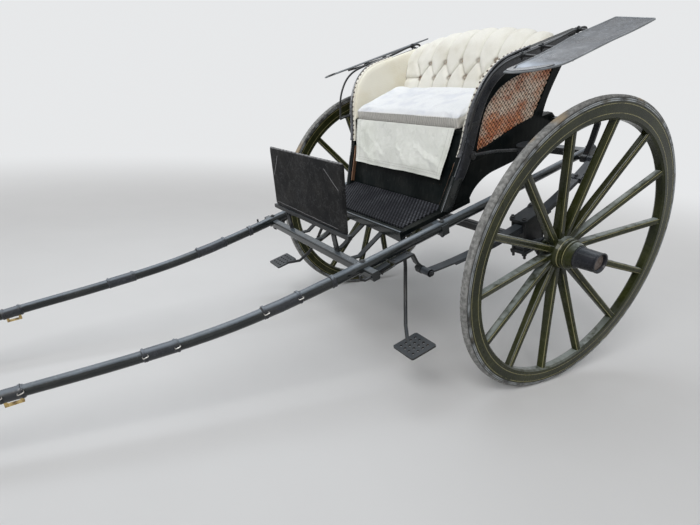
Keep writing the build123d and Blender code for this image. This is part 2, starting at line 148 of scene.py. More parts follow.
class Look(Nodes):
    """One procedural finish."""

    def __init__(self, name, **sockets):
        self.material = bpy.data.materials.new(name)
        self.material.use_nodes = True
        super().__init__(self.material.node_tree)
        self.shader = self.tree.nodes["Principled BSDF"]
        self.set(**sockets)
        # Each point's place in metres, as it stands and in the level drawing.
        self.stood = self.add("ShaderNodeTexCoord").outputs["Object"]
        self.level = self.add("ShaderNodeMapping", in0=self.stood, in2=(-lean, 0, 0),
                              in1=Matrix.Rotation(-lean, 3, "X") @ -axle).outputs[0]

    def set(self, **sockets):
        for key, value in sockets.items():
            if isinstance(value, tuple) and len(value) == 3:
                value = (*value, 1)
            self.feed(self.shader.inputs[key.replace("_", " ")], value)

    def colour(self):
        """The colour that the finish has so far."""
        return self.shader.inputs["Base Color"].links[0].from_socket

    def upward(self):
        """How far a face looks up: 1 lying flat, 0 upright."""
        return self.axes(self.add("ShaderNodeNewGeometry").outputs["Normal"])[2]

    def grain(self, scale, detail=3.0, stretch=(1, 1, 1), vector=None, rough=0.55):
        """Noise from 0 to 1, scale in cells to the metre, along stretched axes."""
        place = self.add("ShaderNodeMapping", in0=vector or self.level, in3=stretch).outputs[0]
        return self.add("ShaderNodeTexNoise", in0=place, in2=scale, in3=detail,
                        in4=rough).outputs[0]

    def spots(self, low, high, scale, detail=3.0, stretch=(1, 1, 1), vector=None):
        """Patches of grain: 0 where it is under low, 1 where it is over high."""
        return self.between(self.grain(scale, detail, stretch, vector), low, high)

    def bump(self, height, distance, strength):
        node = self.add("ShaderNodeBump", in0=strength, in1=distance)
        self.feed(node.inputs["Height"], height)
        if self.shader.inputs["Normal"].is_linked:
            self.feed(node.inputs["Normal"], self.shader.inputs["Normal"].links[0].from_socket)
        self.feed(self.shader.inputs["Normal"], node.outputs[0])


BACKDROP = (0.80, 0.81, 0.82, 1)
FADE_FROM, FADE_TO = 3.0, 9.0
FLOOR_HALF = 14.0
floor_look = Look("studio_floor", Roughness=0.85, Specular_IOR_Level=0.2)
x, y, _ = floor_look.axes(floor_look.stood)
reach = floor_look.calc("SQRT", floor_look.plus(floor_look.times(x, x), floor_look.times(y, y)))
grey, paler = (0.70, 0.70, 0.70), (0.74, 0.74, 0.74)
floor_look.set(Base_Color=floor_look.mix(floor_look.grain(2.0), grey, paler))
rays = floor_look.add("ShaderNodeLightPath").outputs
seen = floor_look.most(rays["Is Camera Ray"], rays["Is Transmission Ray"], rays["Is Glossy Ray"])
seen = floor_look.times(floor_look.between(reach, FADE_FROM, FADE_TO), seen)
bright = floor_look.add("ShaderNodeEmission", in0=BACKDROP, in1=1.0).outputs[0]
fade = floor_look.add("ShaderNodeMixShader", in0=seen, in1=floor_look.shader.outputs[0], in2=bright)
floor_look.feed(floor_look.tree.nodes["Material Output"].inputs[0], fade.outputs[0])
floor_mesh = bpy.data.meshes.new("studio_floor")
corners = [(x * FLOOR_HALF, y * FLOOR_HALF, 0) for x, y in ((-1, -1), (1, -1), (1, 1), (-1, 1))]
floor_mesh.from_pydata(corners, [], [(0, 1, 2, 3)])
floor_mesh.materials.append(floor_look.material)
put_in_scene("studio_floor", floor_mesh)

world = bpy.data.worlds.new("studio")
world.use_nodes = True
bpy.context.scene.world = world
sky = Nodes(world.node_tree)
sky.tree.nodes.clear()


def room(low, level, high):
    """A dome of light: its strength low down, and from the horizon's level to high overhead."""
    height = sky.axes(sky.add("ShaderNodeTexCoord").outputs["Generated"])[2]
    dome = sky.add("ShaderNodeMapRange", in0=height, in1=0.0, in2=0.9, in3=level, in4=high)
    strength = sky.blend(sky.calc("GREATER_THAN", height, 0.5), low, dome.outputs[0])
    return sky.add("ShaderNodeBackground", in1=strength).outputs[0]


# The world lights the carriage as a room does, and shows as the pale backdrop.
shown = room(0.25, 0.36, 0.42)
rays = sky.add("ShaderNodeLightPath").outputs
pale = sky.add("ShaderNodeBackground", in0=BACKDROP).outputs[0]
for ray in ("Is Camera Ray", "Is Glossy Ray", "Is Transmission Ray"):
    shown = sky.add("ShaderNodeMixShader", in0=rays[ray], in1=shown, in2=pale).outputs[0]
sky.add("ShaderNodeOutputWorld", in0=shown)

key = put_in_scene("soft_key", bpy.data.lights.new("soft_key", "SUN"))
key.data.energy = 2.0
key.data.angle = math.radians(32)
key.rotation_euler = (math.radians(52), 0, math.radians(28))

# The soft box hangs over the carriage, as long as it is.
box = put_in_scene("soft_box", bpy.data.lights.new("soft_box", "AREA"))
box.data.shape = "RECTANGLE"
box.data.size = 1.3
box.data.size_y = 4.6
box.data.energy = 40
box.data.color = (0.90, 0.95, 1.0)
box.location = (-0.6, 0.0, 3.2)
box.rotation_euler = (math.radians(-8), math.radians(-8), 0)


# Shafts and cross bars: bent ash poles in gloss black coach paint, rubbed and dusty on top, with
# a painted sky highlight there and the wood and primer showing where the paint is chipped.
def dress(look, *names):
    """Gives CAD nodes this finish."""
    for name in names:
        node = frame["nodes"][name]
        if not node.material_slots:
            node.data.materials.append(look.material)
        for place in node.material_slots:
            place.material = look.material


def dust(look, colour, amount, share=0.5):
    """Pale dust in patches on the faces that look up, and a little elsewhere."""
    patch = look.spots(0.35, 0.75, 9, 5)
    up = look.blend(look.between(look.upward(), 0.25, 0.95), share, 1.0)
    veil = look.times(patch, up, amount)
    return look.mix(veil, colour, (0.30, 0.28, 0.25)), veil


def gloss_paint(name, colour, coat, worn=0.5, streaks=0.0, specular=0.3, sky_highlight=0.0):
    """Old brushed coach paint: drift in tone, fine scratches, small chips, settled dust, and a painted sky
    highlight on top where asked.
    """
    look = Look(name, Coat_Weight=coat, Coat_Roughness=0.1, Specular_IOR_Level=specular)
    drift = look.spots(0.3, 0.75, 6, 4)
    paint = look.mix(drift, colour, tuple(q * 1.6 + 0.002 for q in colour))
    if streaks:
        run = look.spots(0.45, 0.8, 24, 4, (3.0, 3.0, 0.12))
        paint = look.mix(look.times(run, streaks), paint, (0.06, 0.065, 0.06))
    if sky_highlight:
        # A pale blue painted highlight on the faces that look up stands in for the sky's reflection.
        up = look.between(look.upward(), 0.56, 0.88)
        uneven = look.blend(look.spots(0.3, 0.7, 30, 4, (1, 0.12, 1)), 0.65, 1.0)
        paint = look.mix(look.times(up, uneven, sky_highlight), paint, (0.25, 0.295, 0.345))
    scratch = look.spots(0.66, 0.74, 70, 3, (1, 0.04, 1))
    paint = look.mix(look.times(scratch, 0.25 * worn), paint, (0.12, 0.115, 0.10))
    chip = look.spots(0.70, 0.725, 150, 4)
    patch = look.spots(0.48, 0.62, 12, 2)
    chips = look.times(chip, patch, worn)
    paint = look.mix(chips, paint, (0.16, 0.10, 0.06))
    paint, veil = dust(look, paint, 0.10 * worn + 0.01)
    look.set(Base_Color=paint)
    dull = look.plus(look.times(look.grain(40, 4), 0.22), 0.10)
    look.set(Roughness=look.plus(dull, look.times(veil, 1.2)))
    look.bump(look.grain(260, 3), 0.0005, 0.2)
    look.bump(chips, 0.0004, 0.6)
    return look


shaft_look = gloss_paint("shaft_paint", (0.0035, 0.006, 0.0065), coat=0.32, worn=0.6, sky_highlight=0.7)
dress(shaft_look, "shaft_left", "shaft_right")
bar_look = gloss_paint("bar_paint", (0.0035, 0.006, 0.0065), coat=0.32, worn=0.6, sky_highlight=0.3)
dress(bar_look, "splinter_bar", "middle_cross_bar", "rear_cross_bar")

# Body panels: boards painted a very dark green, glued and screwed to the framed sides, with runs
# and streaks of weather down them. A rounded board nailed along the floor's front is glossier.
body_look = gloss_paint("body_paint", (0.0030, 0.0050, 0.0054),
                        coat=0.0, streaks=0.13, specular=0.05)
dress(body_look, "body_side_left", "body_side_right", "seat_riser", "box_bottom", "box_back",
      "seat_board", "seat_back_board", "floor_board")
# The lip has a painted sky highlight along its top.
lip_look = gloss_paint("lip_paint", (0.004, 0.006, 0.0065), coat=0.3, worn=0.7, sky_highlight=0.5)
dress(lip_look, "floor_lip")


# Irons, axle and springs: forged iron in thick black paint with freckles of rust, bolted to the
# wood. The springs are of oiled steel leaves, and the lamp sockets are worn smooth.
def iron_paint(name, colour, rust=0.5, rough=0.35):
    """Thick black paint on iron with freckles of rust, and a faint painted highlight on top."""
    look = Look(name, Coat_Weight=0.1, Coat_Roughness=0.2, Specular_IOR_Level=0.24)
    drift = look.spots(0.3, 0.7, 14, 4)
    paint = look.mix(drift, colour, tuple(q * 1.9 + 0.006 for q in colour))
    freckle = look.spots(0.62, 0.7, 210, 4)
    patch = look.spots(0.5, 0.66, 18, 2)
    rusted = look.times(freckle, patch, rust)
    paint = look.mix(rusted, paint, (0.13, 0.055, 0.025))
    paint, veil = dust(look, paint, 0.10)
    # Painted highlight: faces that look up are painted a paler blue-grey.
    sky_highlight = look.times(look.between(look.upward(), 0.45, 0.95), 0.3)
    paint = look.mix(sky_highlight, paint, (0.13, 0.15, 0.17))
    dull = look.plus(look.times(look.grain(60, 4), 0.25), rough - 0.1)
    look.set(Base_Color=paint, Roughness=look.plus(dull, veil))
    look.bump(look.grain(190, 4), 0.0012, 0.5)
    return look


iron_look = iron_paint("black_iron", (0.007, 0.008, 0.009))
steel_look = iron_paint("spring_steel", (0.016, 0.019, 0.023), rust=0.3, rough=0.3)
dress(iron_look, "axle", "spring_blocks", "front_spring_irons", "rear_spring_irons", "floor_irons",
      "dash_irons", "dash_rail", "wing_irons", "steps", "trace_irons")
dress(steel_look, "leaf_springs")
socket_look = iron_paint("socket_iron", (0.018, 0.020, 0.022), rust=0.3, rough=0.22)
dress(socket_look, "lamp_sockets")

# Tug stops: cast brass staples, dulled brown in the hollows. Each is screwed under its shaft to
# stop the harness tug from sliding back.
brass_look = Look("old_brass", Metallic=1.0)
tarnish = brass_look.spots(0.35, 0.7, 55, 5)
brass_look.set(Base_Color=brass_look.mix(tarnish, (0.62, 0.46, 0.20), (0.20, 0.13, 0.06)))
brass_look.set(Roughness=brass_look.blend(tarnish, 0.22, 0.55))
brass_look.bump(brass_look.grain(420, 3), 0.0004, 0.4)
dress(brass_look, "tug_stops")

# Wheels: ash naves, spokes and bent felloes in olive coach paint, lined in yellow. A dark steel
# channel is shrunk on to hold the solid rubber, and an iron band closes the nave.
SPOKES = 14
SPOKE_START = 89.2  # degrees
HALF_TRACK = 0.729
SPOKE_LINE = 0.0098  # off the spoke's middle
NAVE_LINES = (-0.096, -0.078, -0.034, -0.010)  # out of the wheel's plane
FELLOE_LINES = (0.5475, 0.5805)  # from the axle
CHANNEL_EDGES = (0.5905, 0.5965)
TREAD_FROM, TREAD_TO = 0.597, 0.604


def wheel_parts(look):
    """How far a point is from the carriage's middle and from the axle's line, and its angle."""
    x, y, z = look.axes(look.stood)
    across = look.less(y, axle.y)
    up = look.less(z, axle.z)
    radius = look.calc("SQRT", look.plus(look.times(across, across), look.times(up, up)))
    return look.calc("ABSOLUTE", x), radius, look.calc("ARCTAN2", up, across)


def wheel_paint(name):
    """Olive paint with its fine lines, rubbed and chipped, with a painted sky highlight on faces that look up."""
    look = Look(name, Coat_Weight=0.18, Coat_Roughness=0.08, Specular_IOR_Level=0.14)
    out, radius, angle = wheel_parts(look)
    drift = look.spots(0.3, 0.75, 7, 4, vector=look.stood)
    paint = look.mix(drift, (0.012, 0.015, 0.004), (0.028, 0.032, 0.008))
    streak = look.spots(0.55, 0.75, 55, 3, vector=look.stood)
    paint = look.mix(look.times(streak, 0.25), paint, (0.055, 0.06, 0.022))

    def line(value, at, width):
        return look.between(look.off(value, at), width * 1.2, width * 0.8)

    # The spoke that a point lies on, and how far off its middle it is.
    turn = look.calc("DIVIDE", look.less(angle, math.radians(SPOKE_START)), 2 * math.pi / SPOKES)
    nearest = look.less(turn, look.calc("ROUND", turn))
    off = look.times(radius, look.calc("SINE", look.times(nearest, 2 * math.pi / SPOKES)))
    off = look.calc("ABSOLUTE", off)
    on_spoke = look.times(look.between(radius, 0.10, 0.115), look.between(radius, 0.532, 0.520))
    lines = look.times(line(off, SPOKE_LINE, 0.0010), on_spoke)
    for at in NAVE_LINES:
        ring = look.times(line(out, HALF_TRACK + at, 0.0013), look.between(radius, 0.09, 0.085))
        lines = look.most(lines, ring)
    for at in FELLOE_LINES:
        lines = look.most(lines, line(radius, at, 0.0012))
    rubbed = look.spots(0.26, 0.44, 14, 4, vector=look.stood)
    lines = look.times(lines, rubbed)
    paint = look.mix(look.times(lines, 0.7), paint, (0.36, 0.33, 0.17))
    chip = look.spots(0.70, 0.73, 170, 4, vector=look.stood)
    patch = look.spots(0.46, 0.6, 10, 2, vector=look.stood)
    chips = look.times(chip, patch)
    paint = look.mix(look.times(chips, 0.8), paint, (0.20, 0.13, 0.07))
    # The felloes are seven bent pieces, and a fine dark joint shows between each two.
    first_joint = math.radians(SPOKE_START + 180 / SPOKES)
    joint = look.calc("DIVIDE", look.less(angle, first_joint), 4 * math.pi / SPOKES)
    gap = look.off(joint, look.calc("ROUND", joint))
    seam = look.times(look.between(gap, 0.0018, 0.0010), look.between(radius, 0.538, 0.540))
    paint = look.mix(look.times(seam, 0.8), paint, (0.012, 0.013, 0.008))
    paint, veil = dust(look, paint, 0.12, 0.25)
    # Painted highlight: faces that look up are painted pale grey-green, standing in for the sky's reflection.
    up = look.upward()
    even = look.spots(0.25, 0.6, 24, 4, vector=look.stood)
    sheen = look.times(look.between(up, 0.5, 0.9), even, 0.6)
    look.set(Base_Color=look.mix(sheen, paint, (0.36, 0.40, 0.39)))
    dull = look.plus(look.times(look.grain(35, 4, vector=look.stood), 0.28), 0.12)
    look.set(Roughness=look.plus(dull, veil))
    look.bump(look.grain(230, 3, vector=look.stood), 0.0005, 0.4)
    look.bump(look.less(0.0, seam), 0.0008, 0.8)
    return look


for word in ("left", "right"):
    dress(wheel_paint("wheel_paint_" + word), "wheel_wood_" + word, "felloe_" + word)

channel_look = Look("channel_steel", Metallic=0.6)
wear = channel_look.spots(0.42, 0.68, 28, 5, vector=channel_look.stood)
channel_look.set(Base_Color=channel_look.mix(wear, (0.030, 0.030, 0.026), (0.12, 0.11, 0.085)))
channel_look.set(Roughness=channel_look.blend(wear, 0.4, 0.62))
channel_look.bump(channel_look.grain(240, 4, vector=channel_look.stood), 0.001, 0.5)
_, radius, _ = wheel_parts(channel_look)
plain = channel_look.colour()
# Painted highlights: the channel's two edges are painted pale, in uneven patches.
for at in CHANNEL_EDGES:
    gap = channel_look.off(radius, at)
    rubbed = channel_look.spots(0.3, 0.62, 20, 5, vector=channel_look.stood)
    edge_highlight = channel_look.times(channel_look.between(gap, 0.0024, 0.0008), rubbed)
    plain = channel_look.mix(edge_highlight, plain, (0.40, 0.43, 0.45))
channel_look.set(Base_Color=plain)
dress(channel_look, "tyre_channel_left", "tyre_channel_right")

rubber_look = Look("tyre_rubber", Specular_IOR_Level=0.35)
_, radius, _ = wheel_parts(rubber_look)
tread = rubber_look.between(radius, TREAD_FROM, TREAD_TO)
scuff = rubber_look.spots(0.3, 0.75, 75, 6, vector=rubber_look.stood)
rubber = rubber_look.mix(scuff, (0.030, 0.030, 0.028), (0.095, 0.092, 0.083))
pale = rubber_look.mix(scuff, (0.11, 0.11, 0.106), (0.30, 0.30, 0.29))
worn = rubber_look.spots(0.60, 0.68, 3.2, 3, vector=rubber_look.stood)
pale = rubber_look.mix(worn, pale, (0.30, 0.24, 0.165))
scratch = rubber_look.spots(0.62, 0.72, 260, 3, vector=rubber_look.stood)
pale = rubber_look.mix(rubber_look.times(scratch, 0.5), pale, (0.05, 0.05, 0.048))
rubber_look.set(Base_Color=rubber_look.mix(tread, rubber, pale))
rubber_look.set(Roughness=rubber_look.blend(scuff, 0.62, 0.9))
rubber_look.bump(rubber_look.grain(300, 5, vector=rubber_look.stood), 0.0012, 0.6)
dress(rubber_look, "rubber_tyre_left", "rubber_tyre_right")

hub_look = iron_paint("hub_black", (0.006, 0.007, 0.010), rust=0.2, rough=0.22)
_, radius, _ = wheel_parts(hub_look)
plain = hub_look.colour()
# The cap sunk in the band's mouth has lost its paint.
cap = hub_look.times(hub_look.between(radius, 0.0315, 0.0300), 0.85)
hub_look.set(Base_Color=hub_look.mix(cap, plain, (0.15, 0.12, 0.105)))
dress(hub_look, "hub_band_left", "hub_band_right")


# Arm rolls: stuffed rolls up the pillars and along the rails, covered in enamelled black hide.
# It is crazed and creased, and worn pale where it rubs.
def leather(name, colour, edge, creases, rough, coat=0.25, specular=0.16):
    """Enamelled hide: pores, crazing and creases, with the edge colour where it has rubbed."""
    look = Look(name, Coat_Weight=coat, Coat_Roughness=0.14, Specular_IOR_Level=specular)
    drift = look.spots(0.3, 0.75, 5, 4)
    hide = look.mix(drift, colour, tuple(q * 1.6 + 0.002 for q in colour))
    pores = look.add("ShaderNodeTexVoronoi", feature="DISTANCE_TO_EDGE", in0=look.level, in2=650.0)
    wrinkled = look.grain(11, 6, rough=0.7)
    crease = look.times(look.between(wrinkled, 0.485, 0.50), look.between(wrinkled, 0.515, 0.50))
    crease = look.times(crease, creases)
    hide = look.mix(look.times(crease, 0.5), hide, edge)
    scuff = look.spots(0.60, 0.74, 60, 5)
    hide = look.mix(look.times(scuff, 0.4), hide, edge)
    hide, veil = dust(look, hide, 0.10, 0.4)
    look.set(Base_Color=hide)
    dull = look.plus(look.times(look.grain(30, 4), 0.3), rough - 0.12)
    look.set(Roughness=look.plus(dull, veil))
    look.bump(look.between(pores.outputs[0], 0.0, 0.12), 0.0004, 0.12)
    look.bump(look.grain(13, 6, rough=0.7), 0.008, 0.28)
    return look


leather_look = leather("black_leather", (0.006, 0.0075, 0.012), (0.09, 0.10, 0.12),
                       creases=0.4, rough=0.26, coat=0.4, specular=0.2)
dress(leather_look, "dash_board", "wings", "arm_rolls")

# Floor mat: dark woven rubber matting laid loose on the floor board, its ribs worn paler where
# feet rest.
RIB_PITCH, CROSS_PITCH = 0.019, 0.023
mat_look = Look("floor_matting", Specular_IOR_Level=0.15)
x, y, z = mat_look.axes(mat_look.level)
ribs = mat_look.wave(x, RIB_PITCH)
cross = mat_look.wave(y, CROSS_PITCH)
fine = mat_look.wave(mat_look.plus(x, y), 0.0042)
weave = mat_look.plus(mat_look.times(ribs, cross), mat_look.times(fine, 0.3))
worn = mat_look.spots(0.35, 0.7, 9, 5)
# Painted highlight and shade: the weave's high parts are pale and bluish, its dips near black.
thread = mat_look.between(weave, 0.0, 0.7)
high = mat_look.mix(worn, (0.040, 0.043, 0.053), (0.12, 0.127, 0.145))
mat_look.set(Base_Color=mat_look.mix(thread, (0.005, 0.005, 0.007), high))
mat_look.set(Roughness=mat_look.blend(thread, 0.8, 0.55))
mat_look.bump(weave, 0.002, 0.9)
dress(mat_look, "floor_mat")


# Seat back: cream canvas over hair stuffing, drawn down by covered buttons in two staggered
# rows, with folds from button to button and straight pleats over the top roll.
def canvas(name, colour, shade, thread=0.0011, drawn_in=False):
    """Heavy cotton cloth in a plain weave, soiled towards its shade colour, painted darker in the weave's dips."""
    look = Look(name, Sheen_Weight=0.25, Sheen_Roughness=0.5, Specular_IOR_Level=0.2,
                Roughness=0.85)
    x, y, z = look.axes(look.level)
    weave = look.plus(*[look.wave(q, thread) for q in (x, y, z)])
    soil = look.spots(0.42, 0.8, 7, 6)
    cloth = look.mix(soil, colour, shade)
    # Painted shade: the dips of the weave are darkened.
    dark = look.between(weave, -0.4, -1.6)
    cloth = look.mix(look.times(dark, 0.25), cloth, tuple(q * 0.55 for q in shade))
    if drawn_in:
        # Brown painted shade gathers where buttons and pleats draw the cloth in.
        deep = look.add("ShaderNodeAttribute", attribute_name="crease").outputs["Fac"]
        uneven = look.blend(look.spots(0.3, 0.7, 26, 4), 0.55, 1.0)
        cloth = look.mix(look.times(deep, uneven), cloth, (0.15, 0.095, 0.055))
    look.set(Base_Color=cloth)
    look.bump(look.grain(90, 4), 0.0015, 0.35)
    look.bump(weave, 0.0006, 0.35)
    return look


cream_look = canvas("cream_canvas", (0.80, 0.775, 0.69), (0.68, 0.64, 0.53))
dress(cream_look, "seat_cushion", "back_pad", "seat_apron", "arm_pads")


def joined(parts):
    """Several (points, faces) pairs as one."""
    points, faces = [], []
    for some, these in parts:
        faces += [tuple(i + len(points) for i in face) for face in these]
        points += [tuple(float(q) for q in p) for p in some]
    return points, faces


def piece(name, parts, look, body="carriage", mirror=False):
    """One object from (points, faces) pairs, drawn in level millimetres."""
    points, faces = joined(parts)
    if mirror:
        other = [(-x, y, z) for x, y, z in points]
        flipped = [tuple(i + len(points) for i in reversed(f)) for f in faces]
        points, faces = [*points, *other], [*faces, *flipped]
    mesh = bpy.data.meshes.new(name)
    mesh.from_pydata([parked @ Vector((x / 1000, y / 1000, z / 1000)) for x, y, z in points],
                     [], faces)
    mesh.validate()
    shells = bmesh.new()
    shells.from_mesh(mesh)
    bmesh.ops.recalc_face_normals(shells, faces=shells.faces)
    shells.to_mesh(mesh)
    shells.free()
    mesh.shade_smooth()
    mesh.materials.append(look.material)
    obj = put_in_scene(name, mesh)
    mesh.set_sharp_from_angle(angle=math.radians(38))
    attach(obj, body)
    return obj


def quads(rings, count, start=0, closed=False):
    """The faces between neighbouring rings of points, which all have the same count."""
    faces = []
    for i in range(rings if closed else rings - 1):
        a, b = start + i * count, start + (i + 1) % rings * count
        for k in range(count):
            n = (k + 1) % count
            faces.append((a + k, a + n, b + n, b + k))
    return faces


def border_of(tall, wide):
    """The points round the edge of a grid, in order."""
    return [*range(wide), *[(i + 1) * wide - 1 for i in range(1, tall)],
            *[(tall - 1) * wide + k for k in range(wide - 2, -1, -1)],
            *[i * wide for i in range(tall - 2, 0, -1)]]


def ends(rings, count):
    """The two flat faces that close the first and the last ring."""
    return [tuple(reversed(range(count))), tuple(range((rings - 1) * count, rings * count))]


def smooth_line(points, step=12.0):
    """A line that runs smoothly through the given points, in steps of a few millimetres."""
    points = [np.array(p, float) for p in points]
    knots = [2 * points[0] - points[1], *points, 2 * points[-1] - points[-2]]
    line = []
    for a, b, c, d in zip(knots, knots[1:], knots[2:], knots[3:]):
        count = max(2, int(np.linalg.norm(c - b) / step))
        for k in range(count):
            t = k / count
            line.append(0.5 * (2 * b + (c - a) * t + (2 * a - 5 * b + 4 * c - d) * t * t
                               + (3 * b - a - 3 * c + d) * t ** 3))
    return [tuple(p) for p in [*line, points[-1]]]


def lathe(profile, centre, along, sides):
    """A closed turned solid: (out, radius) pairs about a line through the centre."""
    along = Vector(along).normalized()
    side = along.orthogonal().normalized()
    other = along.cross(side)
    points = []
    for out, radius in profile:
        for k in range(sides):
            a = 2 * math.pi * k / sides
            edge = side * math.cos(a) * radius + other * math.sin(a) * radius
            points.append(Vector(centre) + along * out + edge)
    return points, quads(len(profile), sides) + ends(len(profile), sides)


SIDE_FOOT = 366.0
SIDE_FOOT_Z = 254
FLARE_ANGLE = math.radians(8)
FLARE = math.tan(FLARE_ANGLE)
PAD_FACE = 38.4
BACK_FOOT = (174, 560)
BACK_LEAN = math.radians(28)
ARCH_RADIUS = 1564  # of the back's top edge
PUFF, BUTTON_SINK = 15, 5  # how high a puff stands, and how deep a button lies in it
BUTTON_GAP = 103.0
UPPER, LOWER = 141, 72  # the two rows of buttons, up the back's face
UPPER_BUTTONS = [(k * BUTTON_GAP, UPPER) for k in (-2, -1, 0, 1, 2)]
LOWER_BUTTONS = [(k * BUTTON_GAP, LOWER) for k in (-2.5, -1.5, -0.5, 0.5, 1.5, 2.5)]


def inner_face(z, depth=PAD_FACE):
    """Half the width between the two flared sides at a height, less what lines them."""
    return SIDE_FOOT + (z - SIDE_FOOT_Z) * FLARE - depth


def on_back(x, up, out):
    """A point of the reclined back: up its board from the foot, and out in front of it."""
    y = BACK_FOOT[0] + up * math.sin(BACK_LEAN) - out * math.cos(BACK_LEAN)
    return x, y, BACK_FOOT[1] + up * math.cos(BACK_LEAN) + out * math.sin(BACK_LEAN)


def ease(t):
    """A smooth step from 0 to 1."""
    t = min(max(t, 0.0), 1.0)
    return t * t * (3 - 2 * t)


def to_segment(p, a, b):
    """Distance in the plane from a point to a segment."""
    ab = (b[0] - a[0], b[1] - a[1])
    t = ((p[0] - a[0]) * ab[0] + (p[1] - a[1]) * ab[1]) / (ab[0] ** 2 + ab[1] ** 2)
    t = min(max(t, 0.0), 1.0)
    return math.hypot(p[0] - a[0] - t * ab[0], p[1] - a[1] - t * ab[1])


# Folds run down from the lower buttons, slantwise between the rows, up over the roll, and from
# the outer buttons to the sides.
pleats = []
for x, up in LOWER_BUTTONS:
    pleats.append(((x, up), (x, -20)))
    for side in (-BUTTON_GAP / 2, BUTTON_GAP / 2):
        if abs(x + side) < 210:
            pleats.append(((x, up), (x + side, UPPER)))
for k in range(-3, 4):
    x = k * BUTTON_GAP
    pleats.append(((x, UPPER if abs(k) < 3 else UPPER + 19), (x * 1.02, 400)))
for side in (-1, 1):
    end = side * 2.5 * BUTTON_GAP
    pleats.append(((end, LOWER), (side * 420, LOWER - 3)))
    pleats.append(((end, LOWER), (side * 3 * BUTTON_GAP, UPPER + 19)))

# The pad's face in the side view: up the board, over the top roll and down to its back.
profile = np.array(smooth_line([(0, 84), (60, 84), (120, 82), (170, 82), (210, 76), (243, 60),
                                (266, 38), (277, 18), (275, 4), (266, 0.5)], 4.0))
along = np.concatenate([[0], np.cumsum(np.linalg.norm(np.diff(profile, axis=0), axis=1))])
columns = np.linspace(-1, 1, 221)
# Each point stands off the face by its puff, and has a share of painted crease shade for its colour.
points, crease = [], []
for i, (up, out) in enumerate(profile):
    tangent = profile[min(i + 1, len(profile) - 1)] - profile[max(i - 1, 0)]
    tangent /= np.linalg.norm(tangent)
    lift = (-tangent[1], tangent[0])
    for c in columns:
        z_here = on_back(0, up, out)[2]
        x = c * inner_face(min(z_here, 800))
        spot = (x, along[i])
        near = min(to_segment(spot, a, b) for a, b in pleats)
        button = min(math.hypot(x - bx, along[i] - by) for bx, by in UPPER_BUTTONS + LOWER_BUTTONS)
        wide = 26 + 16 * ease((along[i] - UPPER) / 60)
        t = min(near / wide, 1.0)
        puff = PUFF * math.sqrt(1 - (1 - t) ** 2)
        puff -= BUTTON_SINK * math.exp(-(button / 12) ** 2)
        puff += 1.5 * noise.noise(Vector((x / 30, along[i] / 30, 0)))
        rim = (1 - abs(c)) * inner_face(700)
        puff -= 16 * (1 - ease(rim / 26))
        puff *= ease((along[-1] - along[i]) / 20)
        drop = ARCH_RADIUS - math.sqrt(ARCH_RADIUS ** 2 - x * x)
        fall = drop * ease((up - 90) / 150)
        points.append(on_back(x, up + lift[0] * puff - fall, out + lift[1] * puff))
        # Painted shade: darker along the folds, along the pad's rim and in a ring round each button.
        fold = math.exp(-(near / 3.0) ** 2) * (0.42 - 0.30 * ease((along[i] - UPPER) / 90))
        fold = max(fold, 0.75 * math.exp(-(rim / 6) ** 2))
        crease.append(min(fold + math.exp(-((button - 9) / 4.5) ** 2) * 0.95, 1.0))
wide, tall = len(columns), len(profile)
faces = []
for i in range(tall - 1):
    for k in range(wide - 1):
        a = i * wide + k
        faces.append((a, a + 1, a + 1 + wide, a + wide))
# The sides and the flat back of the pad close it against the board.
start = len(points)
loop = border_of(tall, wide)
for k in loop:
    x, y, z = points[k]
    up = (y - BACK_FOOT[0]) * math.sin(BACK_LEAN) + (z - BACK_FOOT[1]) * math.cos(BACK_LEAN)
    points.append(on_back(x, up, 0.4))
    crease.append(0.0)
for k in range(len(loop)):
    n = (k + 1) % len(loop)
    faces.append((loop[n], loop[k], start + k, start + n))
faces.append(tuple(start + k for k in range(len(loop))))
back_look = canvas("buttoned_canvas", (0.78, 0.765, 0.70), (0.62, 0.59, 0.50), drawn_in=True)
back = piece("buttoned_back", [(points, faces)], back_look)
shade = back.data.attributes.new("crease", "FLOAT", "POINT")
shade.data.foreach_set("value", np.array(crease, np.float32))
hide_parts("back_pad")

# A button is a low dome covered in brown cloth, drawn down into the pad.
BUTTON_DEPTH = 4.5
dome = [(-3, 6.6), (1.0, 7.4), (3.4, 6.9), (5.0, 5.2), (5.8, 2.8), (6.1, 1.0)]
forward = Vector((0, -math.cos(BACK_LEAN), math.sin(BACK_LEAN)))
buttons = []
for x, up in UPPER_BUTTONS + LOWER_BUTTONS:
    i = int(np.argmin(abs(along - up)))
    buttons.append(lathe(dome, on_back(x, up, profile[i][1] - BUTTON_DEPTH), forward, 20))
button_look = canvas("button_canvas", (0.40, 0.31, 0.21), (0.22, 0.16, 0.10), 0.0008)
piece("covered_buttons", buttons, button_look)

# Seat cushion: a loose boxed mattress of cream canvas, blown up by a cloth simulation from a
# slightly smaller block, with faint tufts.
CUSHION_LINE = [(-221, 561), (-222, 610), (-192, 618), (-60, 632), (40, 640), (76, 636), (98, 561)]
CUSHION_HALF = 362
BOARD_TOP = 560.4
VOXEL, SWELL = 0.006, 0.010  # metres
PRESSURE, SWELL_FRAMES = 4.0, 20
TUFT_ROWS, TUFT_GAP, TUFT_DEPTH = (-150, -70, 10), 140, 5.5
HOLLOW = 4.0


def inset_block(outline, half, steps_across):
    """A closed block with the outline in the side view, its ends a little inside each other."""
    rows = []
    outline = np.array(outline)
    middle = np.mean(outline, axis=0)
    for c in np.linspace(-1, 1, steps_across):
        shrink = 3.0 * ease((abs(c) - 0.94) / 0.06)
        rows.append([(c * half, *(p + (middle - p) * shrink / 100)) for p in outline])
    points = [p for row in rows for p in row]
    return points, quads(len(rows), len(outline)) + ends(len(rows), len(outline))


